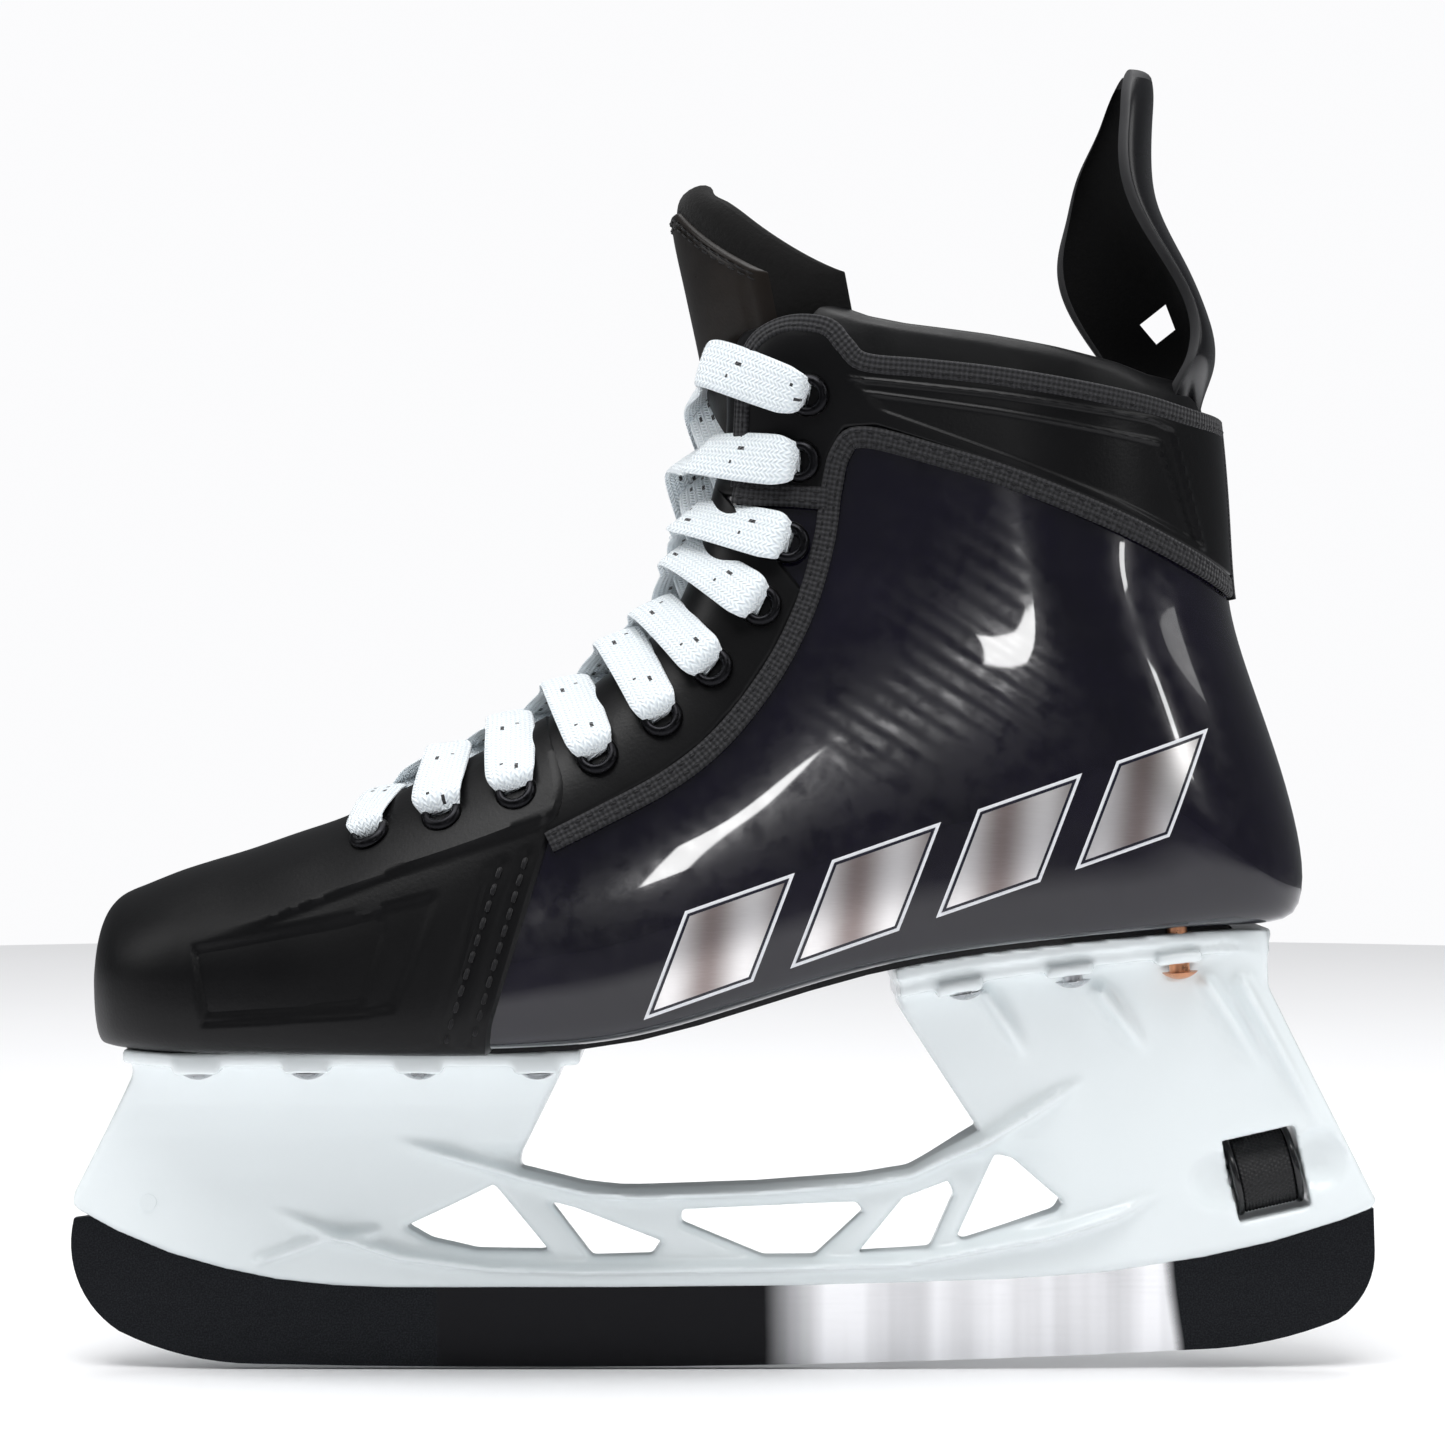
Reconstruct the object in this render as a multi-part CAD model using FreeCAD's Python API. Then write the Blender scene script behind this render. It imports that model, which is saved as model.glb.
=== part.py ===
"""Ice hockey skate for the left foot: one-piece boot, lacing, tongue, tendon guard,
moulded blade holder and a steel runner with a thumb-wheel release.

Millimetres, +Z up, toe towards -X, outer (lateral) side towards -Y.
The runner's lowest point is at Z = 0 and the skate is centred on the origin.
"""
import FreeCAD
import Part
import math
import os
from FreeCAD import Vector

os.makedirs("parts", exist_ok=True)

# ---------------------------------------------------------------- driving dimensions
PIVOT_X, PIVOT_Z = -40.0, 258.0      # the ankle's section planes fan out from this line
TOE_STEP = 1.763                     # boot length per station ahead of the pivot
SHELL_WALL = 2.6
OVERLAY = (0.1, 1.3)                 # facings, cuffs and bindings: inner and outer skin
TOE_CAP = (0.12, 1.6)
LINING = (-2.9, -5.4)
PADDING = (-2.9, -9.0)
TONGUE_THICK = 6.0
RUNNER_THICK = 3.0
ROCKER_RADIUS = 3000.0
ROCKER_X = -45.0
EYELET_OUTER, EYELET_BORE, EYELET_BARREL = 5.0, 2.5, 3.2
LACE_WIDTH, LACE_THICK = 9.5, 1.0
RIVET_SHANK, RIVET_HEAD, WASHER_RADIUS = 2.4, 4.2, 5.0
PIN_RADIUS, PIN_CLEARANCE = 2.0, 0.05
ANCHOR = (-137.0, 40.0)              # the front anchor pin, in side view
WHEEL_CENTRE = (129.3, 47.2)
WHEEL_TILT = 13.0                    # degrees, nose down towards the toe
WHEEL_RADIUS, WHEEL_LENGTH = 9.6, 16.4
BOLT_RADIUS = 3.0
BOLT_START, BOLT_LENGTH = -10.0, 25.5   # along the wheel axis from its centre
FRONT_FLANGE, REAR_FLANGE = 3.4, 7.4
TAB_DROP = 1.8

# Boot outline by station. Negative stations are upright sections ahead of the pivot,
# positive ones are degrees of the ankle fan. Radii run from the pivot line.
SOLE_RADIUS = [
    (-61.0, 171.5), (-60.2, 176.0), (-59.0, 177.8), (-56.0, 178.2), (-40.0, 178.2), (-20.0, 178.1),
    (0.0, 178.0), (4.8, 177.4), (11.4, 175.7), (19.2, 175.0), (27.7, 179.2), (36.2, 191.3),
    (42.2, 205.3), (46.5, 219.5), (48.4, 227.0), (49.6, 229.9), (50.8, 229.2), (54.3, 217.6),
    (58.7, 198.5), (64.0, 180.2), (67.0, 174.3), (71.0, 168.8), (79.0, 160.4), (84.0, 156.3), (90.0, 152.5),
]
TOP_RADIUS = [
    (-61.0, 158.0), (-60.2, 152.5), (-59.0, 148.2), (-56.0, 144.6), (-51.0, 140.9), (-42.0, 135.9),
    (-34.5, 131.4), (-28.4, 127.7), (-22.0, 122.4), (-17.2, 118.5), (-9.5, 112.0), (0.0, 102.8),
    (5.8, 96.7), (12.1, 90.7), (19.5, 84.8), (29.2, 72.3), (39.0, 62.3), (47.5, 56.5), (54.1, 52.0),
    (62.0, 48.0), (69.1, 47.2), (75.2, 48.4), (81.0, 53.0), (90.0, 60.0),
]
HALF_WIDTH = [
    (-61.0, 13.0), (-60.2, 20.5), (-59.0, 26.5), (-56.0, 33.0), (-51.0, 38.2), (-42.0, 43.2), (-30.0, 47.6),
    (-16.0, 49.4), (-4.0, 48.6), (8.0, 46.2), (20.0, 43.2), (32.0, 40.8), (44.0, 39.0), (52.0, 38.4),
    (62.0, 39.4), (72.0, 41.0), (84.0, 41.5), (90.0, 41.5),
]
SOLE_HALF_WIDTH = [
    (-61.0, 5.0), (-60.2, 11.0), (-59.0, 16.0), (-56.0, 22.5), (-51.0, 28.5), (-42.0, 34.5), (-30.0, 39.0),
    (-16.0, 40.0), (-4.0, 36.5), (8.0, 31.5), (20.0, 28.5), (32.0, 28.0), (40.0, 26.5), (45.0, 21.0),
    (48.2, 12.5), (51.0, 5.0), (56.0, 1.5), (70.0, 1.0), (90.0, 1.0),
]
THROAT_HALF_WIDTH = [
    (-61.0, 3.0), (-52.0, 6.0), (-36.0, 9.0), (-24.0, 12.5), (-10.0, 15.0), (6.0, 17.5), (24.0, 19.5),
    (45.0, 21.0), (65.0, 22.0), (90.0, 22.5),
]
LOWER_POWER = [(-61.0, 2.2), (-30.0, 2.8), (0.0, 2.8), (25.0, 2.5), (45.0, 2.2), (55.0, 2.0), (90.0, 2.2)]
UPPER_POWER = [(-61.0, 2.1), (-25.0, 2.1), (0.0, 2.3), (30.0, 2.2), (60.0, 2.5), (90.0, 2.6)]
WIDEST_AT = [(-61.0, 0.45), (-40.0, 0.34), (-10.0, 0.30), (10.0, 0.34), (30.0, 0.46), (55.0, 0.50), (90.0, 0.48)]
STATIONS = [
    -61.0, -60.5, -59.6, -58.2, -56.0, -53.0, -49.0, -44.0, -38.0, -31.0, -24.0, -17.0, -10.0, -4.0, 3.0, 10.0,
    17.0, 24.0, 31.0, 37.0, 42.0, 45.5, 48.0, 50.0, 52.5, 55.5, 59.0, 63.0, 67.0, 72.0, 78.0, 84.0, 88.0, 90.0,
]
TOE_START, SHELL_START, TOE_STOP, CALF_START, STATION_STOP = 0, 9, 14, 18, len(STATIONS) - 1

# Side-view outlines (x, z) of the boot's pieces.
TOE_EDGE = [(-40.4, 157.0), (-36.2, 143.0), (-36.0, 138.5), (-40.2, 126.0), (-52.4, 85.0), (-53.5, 74.0)]
FACING_REAR = [
    (-38.5, 128.6), (-28.1, 134.2), (-14.3, 141.6), (-4.0, 149.4), (4.5, 158.6), (12.2, 170.0),
    (18.0, 181.8), (22.2, 196.0), (23.4, 205.6),
]
BINDING_REAR = [
    (-39.9, 125.6), (-27.0, 131.6), (-13.0, 138.9), (-2.2, 146.8), (7.0, 156.8), (15.2, 169.2),
    (21.2, 183.0), (24.9, 197.0), (26.3, 209.0), (28.4, 216.0),
]
CUFF_LOWER = [(23.4, 206.0), (24.6, 214.5), (28.2, 221.6), (35.5, 222.2), (65.8, 212.6), (90.9, 202.9), (118.0, 189.9), (132.0, 186.0)]
BINDING_LOWER = [(28.4, 216.0), (35.2, 218.2), (65.4, 208.4), (90.9, 198.4), (118.6, 185.2), (132.0, 181.4)]
CUFF_TOP = [(5.0, 246.6), (15.4, 248.4), (25.7, 247.4), (30.6, 240.6), (34.2, 238.0), (60.7, 235.3), (95.5, 229.7),
            (112.0, 226.2), (132.0, 225.0)]
CUFF_TOP_INNER = [(24.0, 243.6), (28.2, 237.6), (33.0, 234.8), (60.4, 232.0), (95.0, 226.4), (112.0, 222.8), (132.0, 221.6)]
EYELETS = [
    (-80.5, 127.6), (-63.7, 132.5), (-46.8, 137.9), (-28.3, 146.3), (-13.7, 155.1), (-2.0, 166.8),
    (9.0, 181.0), (15.3, 195.5), (18.1, 214.6), (20.1, 229.6),
]
BADGE_BARS = [(-14.0, 88.5, 20.0), (17.0, 99.5, 20.0), (49.0, 111.0, 19.0), (80.0, 122.5, 17.0)]  # x, z, width
SIDES = {"lateral": -1.0, "medial": 1.0}


# ---------------------------------------------------------------- boot surface
class Smooth:
    """Natural cubic curve through a short table of (station, value) pairs."""

    def __init__(self, table):
        self.x = [p[0] for p in table]
        self.y = [p[1] for p in table]
        n = len(table)
        lower, main, right = [0.0] * n, [1.0] * n, [0.0] * n
        upper = [0.0] * n
        for i in range(1, n - 1):
            a, b = self.x[i] - self.x[i - 1], self.x[i + 1] - self.x[i]
            lower[i], main[i], upper[i] = a, 2 * (a + b), b
            right[i] = 6 * ((self.y[i + 1] - self.y[i]) / b - (self.y[i] - self.y[i - 1]) / a)
        for i in range(1, n):
            f = lower[i] / main[i - 1]
            main[i] -= f * upper[i - 1]
            right[i] -= f * right[i - 1]
        self.m = [0.0] * n
        for i in range(n - 2, 0, -1):
            self.m[i] = (right[i] - upper[i] * self.m[i + 1]) / main[i]

    def __call__(self, s):
        x, y, m = self.x, self.y, self.m
        s = min(max(s, x[0]), x[-1])
        i = 0
        while i < len(x) - 2 and s > x[i + 1]:
            i += 1
        h = x[i + 1] - x[i]
        a, b = (x[i + 1] - s) / h, (s - x[i]) / h
        return a * y[i] + b * y[i + 1] + ((a ** 3 - a) * m[i] + (b ** 3 - b) * m[i + 1]) * h * h / 6


sole_r, top_r, half_w = Smooth(SOLE_RADIUS), Smooth(TOP_RADIUS), Smooth(HALF_WIDTH)
sole_w, throat_w = Smooth(SOLE_HALF_WIDTH), Smooth(THROAT_HALF_WIDTH)
low_p, up_p, widest = Smooth(LOWER_POWER), Smooth(UPPER_POWER), Smooth(WIDEST_AT)


def side_point(s, r, d=0.0):
    """Side-view point at station s and radius r; d moves the blunt toe end outwards."""
    if s > 0:
        a = math.radians(s)
        return PIVOT_X + r * math.sin(a), PIVOT_Z - r * math.cos(a)
    nose = d * min(1.0, max(0.0, (-s - 48.0) / 12.0))
    return PIVOT_X + s * TOE_STEP - nose, PIVOT_Z - r


def station(x, z):
    if x <= PIVOT_X:
        return (x - PIVOT_X) / TOE_STEP, PIVOT_Z - z
    return math.degrees(math.atan2(x - PIVOT_X, PIVOT_Z - z)), math.hypot(x - PIVOT_X, PIVOT_Z - z)


def toe_bend(s):
    """The toe box leans towards the inner side of the foot."""
    return 4.5 * (max(0.0, -s - 12.0) / 49.0) ** 2


def half_at(s, r, d=0.0):
    """Half width of the boot, grown by d, at radius r of station s."""
    bottom, top = sole_r(s) + d, top_r(s) - d
    full = half_w(s) + d
    v = min(max((bottom - r) / (bottom - top), 0.0), 1.0)
    w = widest(s)
    if v < w:
        p, end = low_p(s), max(0.4, min(sole_w(s) + 0.6 * d, full - 0.5))
        return end + (full - end) * (1 - (1 - v / w) ** p) ** (1 / p)
    p, end = up_p(s), min(throat_w(s), full - 0.5)
    return end + (full - end) * (1 - ((v - w) / (1 - w)) ** p) ** (1 / p)


def surface(x, z, side, d=0.0):
    s, r = station(x, z)
    return Vector(x, toe_bend(s) + side * half_at(s, r, d), z)


def outward(x, z, side):
    """Unit normal of the boot surface at a side-view point."""
    e = 1.5
    px, nx = surface(x + e, z, side), surface(x - e, z, side)
    pz, nz = surface(x, z + e, side), surface(x, z - e, side)
    n = (px - nx).cross(pz - nz)
    if n.y * side < 0:
        n = n.negative()
    return n.normalize()


HEIGHTS = [0.0, 0.015, 0.05, 0.11, 0.2, 0.33, 0.5, 0.67, 0.81, 0.91, 0.97, 1.0]


def section(s, d):
    """Closed outline round the boot at station s."""
    bottom, top = sole_r(s) + d, top_r(s) - d
    half = [(half_at(s, bottom + v * (top - bottom), d), bottom + v * (top - bottom)) for v in HEIGHTS]
    points = []
    for y, r in half + [(-y, r) for y, r in reversed(half)]:
        x, z = side_point(s, r, d)
        points.append(Vector(x, y + toe_bend(s), z))
    return Part.makePolygon(points + points[:1])


def boot(d, first=0, last=None):
    """Solid of the boot's outline grown by d, between two of the stations."""
    return Part.makeLoft([section(s, d) for s in STATIONS[first:last]], True, True)


def skin(outer, inner, first, last):
    """Wall between two offsets, open at the ends that aren't the nose."""
    return boot(outer, first, last).cut(boot(inner, max(first - 1, 0), last + 1))


# ---------------------------------------------------------------- helpers
def save(name, shape):
    shape.exportStep("parts/%s.step" % name)
    print("%-24s %8.1f mm3 solids %d valid %s" % (name, shape.Volume, len(shape.Solids), shape.isValid()))


def compound(shapes):
    return Part.Compound(shapes)


def plate(points, y0, y1):
    """Side-view polygon turned into a slab between two Y planes."""
    wire = Part.makePolygon([Vector(x, y0, z) for x, z in points + points[:1]])
    return Part.Face(wire).extrude(Vector(0, y1 - y0, 0))


def side_slab(points, side):
    return plate(points, side * 1.5, side * 80.0)


def cylinder(radius, length, base, axis):
    return Part.makeCylinder(radius, length, base, axis)


def clear_of(shape, neighbours):
    """The largest piece of a shape once its neighbours are cut from it."""
    for other in neighbours:
        if shape.BoundBox.intersect(other.BoundBox):
            shape = shape.cut(other)
    return max(shape.Solids, key=lambda solid: solid.Volume)


def strip(centre_line, hands, heights):
    """Loft of rectangles (half width, lower, upper radius offsets) along the boot's stations."""
    wires = []
    for s in centre_line:
        lo, hi = heights(s)
        w = hands(s)
        corners = []
        for y, r in ((-w, lo), (w, lo), (w, hi), (-w, hi)):
            x, z = side_point(s, r)
            corners.append(Vector(x, y + toe_bend(s), z))
        wires.append(Part.makePolygon(corners + corners[:1]))
    return Part.makeLoft(wires, True, True)


def frange(a, b, n):
    return [a + (b - a) * i / (n - 1) for i in range(n)]


# ---------------------------------------------------------------- boot pieces
def make_boot():
    layer = skin(OVERLAY[1], OVERLAY[0], SHELL_START, STATION_STOP)
    throat = strip([-28.0, -24.0, -16.0, -8.0, 0.0, 8.0, 20.0, 35.0, 50.0, 65.0, 80.0, 90.0], throat_w,
                   lambda s: (top_r(s) + 24.0, top_r(s) - 14.0))
    tongue_room = strip([-26.0, -16.0, -8.0, 0.0, 10.0, 20.0, 35.0, 50.0, 65.0, 80.0, 90.0],
                        lambda s: throat_w(s) + 14.0, lambda s: (top_r(s) + 30.0, top_r(s) - 14.0))

    # rivet and eyelet holes shared by every layer they pass through
    shanks = compound([rivet_shank(p, 0.0) for p in rivet_places()])
    rivet_tops = compound([rivet_room(p) for p in rivet_places()])
    throat_mouth = Part.makeBox(62.0, 41.0, 62.0, Vector(-50.0, -20.5, 204.0))
    barrels = compound([eyelet_barrel(x, z, side, EYELET_BARREL) for x, z in EYELETS for side in (-1, 1)])

    # shell: from under the toe cap to the collar line
    rim = [(4.0, 245.6), (15.4, 247.4), (25.0, 246.4), (30.0, 239.6), (33.6, 237.0), (60.7, 234.3), (95.5, 228.7),
           (104.0, 226.8), (124.0, 224.0)]
    shell_side = [(-78.0, 60.0), (-78.0, 172.0), (-10.0, 252.0)] + rim + [(160.0, 190.0), (160.0, 60.0)]
    shell = skin(0.0, -SHELL_WALL, SHELL_START, STATION_STOP).common(plate(shell_side, -80, 80))
    shell = shell.cut(throat).cut(throat_mouth).cut(shanks).cut(barrels)
    save("shell", shell)

    toe_side = [(-170.0, 60.0), (-170.0, 175.0), (-45.0, 175.0)] + TOE_EDGE + [(-53.5, 60.0)]
    outsole = make_outsole(0.0)
    cap = skin(TOE_CAP[1], TOE_CAP[0], TOE_START, TOE_STOP).common(plate(toe_side, -80, 80))
    cap = cap.cut(throat).cut(barrels).cut(make_outsole(0.25)).cut(shanks)
    save("toe_cap", cap)
    save("outsole", outsole.cut(shanks).cut(shell))

    toe_lining_side = [(-170.0, 60.0), (-170.0, 175.0), (-78.4, 175.0), (-78.4, 60.0)]
    toe_lining = skin(-0.1, -2.4, TOE_START, TOE_STOP).common(plate(toe_lining_side, -80, 80)).cut(throat)
    toe_lining = toe_lining.cut(shanks).cut(barrels)
    save("toe_lining", toe_lining)

    # inner lining below the lacing, with the padded collar above it
    lining_side = [(-76.0, 60.0), (-76.0, 121.0), (-60.0, 125.0)] + BINDING_REAR[1:] + \
                  [(33.0, 205.0), (150.0, 205.0), (150.0, 60.0)]
    board_room = strip(frange(-44.0, 44.0, 12), lambda s: max(sole_w(s) - 6.0, 6.0),
                       lambda s: (sole_r(s) + 4.0, sole_r(s) - 6.0))
    lining = skin(LINING[0], LINING[1], SHELL_START, STATION_STOP).common(plate(lining_side, -80, 80))
    lining = lining.cut(tongue_room).cut(board_room).cut(rivet_tops)
    save("ankle_lining", lining)
    collar_side = [(33.0, 205.4), (33.5, 246.4), (41.6, 246.2), (60.9, 243.6), (76.9, 240.8), (91.8, 237.6),
                   (100.0, 235.2), (118.0, 233.0), (150.0, 232.0), (150.0, 205.4)]
    front_pad = [(12.0, 205.4), (12.0, 250.2), (27.2, 251.6), (32.9, 247.6), (32.9, 205.4)]
    ring = skin(PADDING[0], PADDING[1], CALF_START, STATION_STOP)
    guard_room = make_guard_base(0.4)
    padding = ring.common(plate(collar_side, -80, 80)).cut(tongue_room).cut(guard_room)
    save("collar_padding", padding)
    front = ring.common(plate(front_pad, -80, 80)).cut(tongue_room).cut(lining)
    save("collar_front_pads", front)

    board = strip(frange(-43.5, 43.5, 14), lambda s: max(sole_w(s) - 6.5, 5.5),
                  lambda s: (sole_r(s) - SHELL_WALL - 0.1, sole_r(s) - SHELL_WALL - 1.9))
    save("insole_board", board.cut(rivet_tops))
    footbed = strip(frange(-55.0, 45.0, 18), lambda s: max(sole_w(s) - 5.0, 5.0),
                    lambda s: (sole_r(s) - SHELL_WALL - 3.1, sole_r(s) - SHELL_WALL - 6.6))
    save("footbed", footbed.cut(rivet_tops))

    stay = skin(2.5, 1.4, CALF_START, STATION_STOP).common(
        Part.makeBox(30.0, 13.0, 43.0, Vector(104.0, -6.5, 183.0)))
    save("back_stay", stay)
    badge_skin = skin(0.5, 0.1, SHELL_START, STATION_STOP)
    walls = [shell]
    for side_name, side in SIDES.items():
        facing = [(-38.9, 128.8)] + FACING_REAR[1:] + [(-5.0, 206.4), (-25.0, 200.0), (-60.0, 165.0), (-41.0, 156.6),
                                                       (-35.9, 143.2), (-35.7, 138.5)]
        cuff = [(-6.0, 206.8), (23.4, 206.8)] + CUFF_LOWER[1:] + CUFF_TOP_INNER[::-1] + \
               [(24.0, 243.6), (-6.0, 243.6)]
        binding = BINDING_REAR + BINDING_LOWER[1:] + CUFF_LOWER[::-1][:-1] + FACING_REAR[::-1]
        top_tape = CUFF_TOP + CUFF_TOP_INNER[::-1] + [(5.0, 244.0)]
        half = layer.common(side_slab([(-200, 50), (-200, 300), (200, 300), (200, 50)], side)).cut(throat)
        half = half.cut(throat_mouth).cut(barrels)
        for name, outline in (("facing_", facing), ("cuff_", cuff), ("binding_", binding), ("top_tape_", top_tape)):
            piece = half.common(side_slab(outline, side))
            save(name + side_name, piece)
            walls.append(piece)
        bars = [badge_skin.common(side_slab(badge_outline(*bar), side)) for bar in BADGE_BARS]
        save("badge_" + side_name, compound([s for b in bars for s in b.Solids]))
    return walls


def badge_outline(x, z, width, height=24.0, lean=9.0, rise=0.34):
    """A slanted bar of the plain stripe along the quarter."""
    return [(x, z), (x + width, z + rise * width), (x + width + lean, z + rise * width + height),
            (x + lean, z + height)]


def make_outsole(grow):
    """Thin plate under the boot that the holder is riveted to."""
    return strip(frange(-55.0, 46.5, 24), lambda s: max(sole_w(s) - 3.0, 4.0) + grow,
                 lambda s: (sole_r(s) + 1.6 + grow, sole_r(s) + 0.1 - grow))


def rivet_places():
    """(x, y, flange top height, slope in degrees, flange thickness), front then rear."""
    front = [(x, side * 26.0, 78.2, 0.0, FRONT_FLANGE) for x in (-122.0, -96.5, -70.4, -43.1) for side in (-1, 1)]
    rear = [(x, side * 19.5, z, slope, REAR_FLANGE)
            for x, z, slope in ((55.5, 100.1, 11.0), (81.2, 103.0, 6.0), (106.6, 105.1, 4.0)) for side in (-1, 1)]
    return front + rear


def rivet_axis(slope):
    a = math.radians(slope)
    return Vector(-math.sin(a), 0, math.cos(a))


def rivet_shank(place, slack):
    x, y, z, slope, _ = place
    axis = rivet_axis(slope)
    return cylinder(RIVET_SHANK + slack, 24.0, Vector(x, y, z) - axis * 14.0, axis)


def rivet_room(place):
    """Room for a rivet's clinched end and its washer."""
    x, y, z, slope, _ = place
    axis = rivet_axis(slope)
    return cylinder(WASHER_RADIUS + 0.2, 21.7, Vector(x, y, z) - axis * 14.0, axis)


def make_rivets():
    groups = {"front_rivets": [], "rear_rivets": [], "copper_rivet": []}
    washers = []
    for i, (x, y, z, slope, thick) in enumerate(rivet_places()):
        axis = rivet_axis(slope)
        seat = Vector(x, y, z) - axis * (thick + TAB_DROP)
        head = Part.makeSphere(6.0, seat + axis * 4.3, axis, -90, 90, 360)
        head = head.common(cylinder(RIVET_HEAD, 3.0, seat - axis * 3.0, axis))
        top = Vector(x, y, z) + axis * 7.2
        shank = cylinder(RIVET_SHANK, (top - seat).Length, seat, axis)
        rivet = head.fuse(shank).removeSplitter()
        name = "front_rivets" if i < 8 else ("copper_rivet" if i == 12 else "rear_rivets")
        groups[name].append(rivet)
        washer = cylinder(WASHER_RADIUS, 0.8, top - axis * 0.85, axis).cut(cylinder(RIVET_SHANK + 0.05, 4.0, top - axis * 2, axis))
        washers.append(washer)
    for name, rivets in groups.items():
        save(name, compound(rivets))
    save("rivet_washers", compound(washers))


# ---------------------------------------------------------------- lacing
def eyelet_barrel(x, z, side, radius):
    n = outward(x, z, side)
    return cylinder(radius + 0.05, 8.0, surface(x, z, side) - n * 4.5, n)


def make_eyelets():
    for side_name, side in SIDES.items():
        rings = []
        for x, z in EYELETS:
            n = outward(x, z, side)
            base = surface(x, z, side) + n * 1.75
            ring = cylinder(EYELET_OUTER, 1.1, base, n)
            ring = ring.fuse(cylinder(EYELET_BARREL, 5.4, base - n * 4.9, n))
            ring = ring.cut(cylinder(EYELET_BORE, 12.0, base - n * 8.0, n))
            rings.append(ring.removeSplitter())
        save("eyelets_" + side_name, compound(rings))


def ribbon(points, normals, width=LACE_WIDTH, thick=LACE_THICK):
    """Flat lace through points, its face turned to each point's normal."""
    wires = []
    for i, p in enumerate(points):
        a, b = points[max(i - 1, 0)], points[min(i + 1, len(points) - 1)]
        along = (b - a).normalize()
        across = along.cross(normals[i]).normalize()
        up = across.cross(along).normalize()
        w = width / 2 if 0 < i < len(points) - 1 else width / 4
        corner = [p + across * (w * j) + up * (thick / 2 * k) for j, k in ((-1, -1), (1, -1), (1, 1), (-1, 1))]
        wires.append(Part.makePolygon(corner + corner[:1]))
    return Part.makeLoft(wires, True, True)


def throat_edge(x, z):
    """Nearest throat-edge station to an eyelet."""
    s, _ = station(x, z)
    return s


def crossing(n, side):
    """One strap: out of the boot at eyelet n, over the other side and into eyelet n+1 there."""
    x0, z0 = EYELETS[n]
    x1, z1 = EYELETS[n + 1]
    s0, s1 = throat_edge(x0, z0), throat_edge(x1, z1)
    lift = 2.2 if side < 0 else 4.0
    w0, w1 = throat_w(s0), throat_w(s1)

    def top_point(s, y, rise):
        x, z = side_point(s, top_r(s) - rise)
        return Vector(x, y + toe_bend(s), z)

    up0 = (top_point(s0, 0, 5) - top_point(s0, 0, 0)).normalize()
    up1 = (top_point(s1, 0, 5) - top_point(s1, 0, 0)).normalize()
    n1 = outward(x1, z1, -side)
    e1 = surface(x1, z1, -side)
    far = Vector(0, -side, 0)
    points = [top_point(s0, side * (w0 - 1.2), -2.6), top_point(s0 + 0.15 * (s1 - s0), side * (w0 - 5.0), 0.0),
              top_point((s0 + s1) / 2, 0.0, lift), top_point(s1, -side * (w1 - 2.0), 3.6),
              top_point(s1, -side * (w1 + 3.5), 3.9), e1 + n1 * 4.6 + (top_point(s1, 0, 0) - e1).normalize() * 3.0,
              e1 + n1 * 3.1]
    normals = [up0, up0, up0, (up1 * 3 + far).normalize(), (up1 + far).normalize(), n1, n1]
    return ribbon(points, normals)


def make_lace():
    straps = [crossing(n, side) for n in range(len(EYELETS) - 1) for side in (-1, 1)]
    x, z = EYELETS[0]
    s = throat_edge(x, z)
    points, normals = [], []
    for side in (-1, 1):
        n = outward(x, z, side)
        e = surface(x, z, side)
        tx, tz = side_point(s, top_r(s) - 3.4)
        edge = Vector(tx, side * (throat_w(s) + 2.0) + toe_bend(s), tz)
        group = [e + n * 3.1, e + n * 4.4 + (edge - e).normalize() * 3.0, edge]
        up = [n, n, Vector(-0.2, side * 0.3, 1).normalize()]
        if side > 0:
            group.reverse()
            up.reverse()
        points += group
        normals += up
    straps.append(ribbon(points, normals))
    save("lace", compound(straps))


# ---------------------------------------------------------------- tongue
def make_tongue(walls):
    lower = strip([-31.0, -24.0, -16.0, -8.0, 0.0, 7.0, 14.0, 22.0, 30.0, 38.0, 46.0, 54.0, 62.0, 69.0],
                  lambda s: throat_w(s) + 9.0,
                  lambda s: (top_r(s) + 6.4 + TONGUE_THICK, top_r(s) + 6.4))
    neck = crescent_loft([(214.0, 5.4, 3.0), (224.0, 5.4, 3.0), (238.0, 4.6, 3.0), (243.0, 0.5, 3.0), (248.4, -6.9, 3.0)],
                         9.0, 34.0, 33.0)
    neck = neck.common(Part.makeBox(60.0, 38.0, 60.0, Vector(-20.0, -19.0, 200.0)))
    neck = clear_of(neck, walls)
    save("tongue_neck", neck)
    save("tongue_lower", clear_of(lower, walls + [neck]))

    levels = [(248.8, -7.0, 3.0), (262.0, -9.0, 2.0), (275.0, -11.2, 1.0), (290.0, -13.4, 0.0)]
    pad = crescent_loft(levels, 7.5, 34.0, 33.0)
    outline = [(-20.0, 248.9), (-14.0, 268.0), (-11.0, 276.0), (-7.4, 281.6), (-2.0, 284.6), (4.0, 284.2),
               (11.1, 280.4), (17.0, 274.4), (22.5, 266.0), (28.0, 257.0), (31.6, 250.2), (31.8, 248.9)]
    pad = pad.common(plate(outline, -60, 60))
    save("tongue_pad", pad)
    skin = crescent_loft([(z, x - 1.3, e) for z, x, e in levels], 1.0, 34.0, 33.0)
    shield = [(-20.0, 249.2), (-16.0, 274.6), (-11.0, 274.4), (5.2, 263.2), (17.5, 251.0), (19.0, 249.2)]
    save("tongue_shield", skin.common(plate(shield, -60, 60)).cut(pad))


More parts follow.
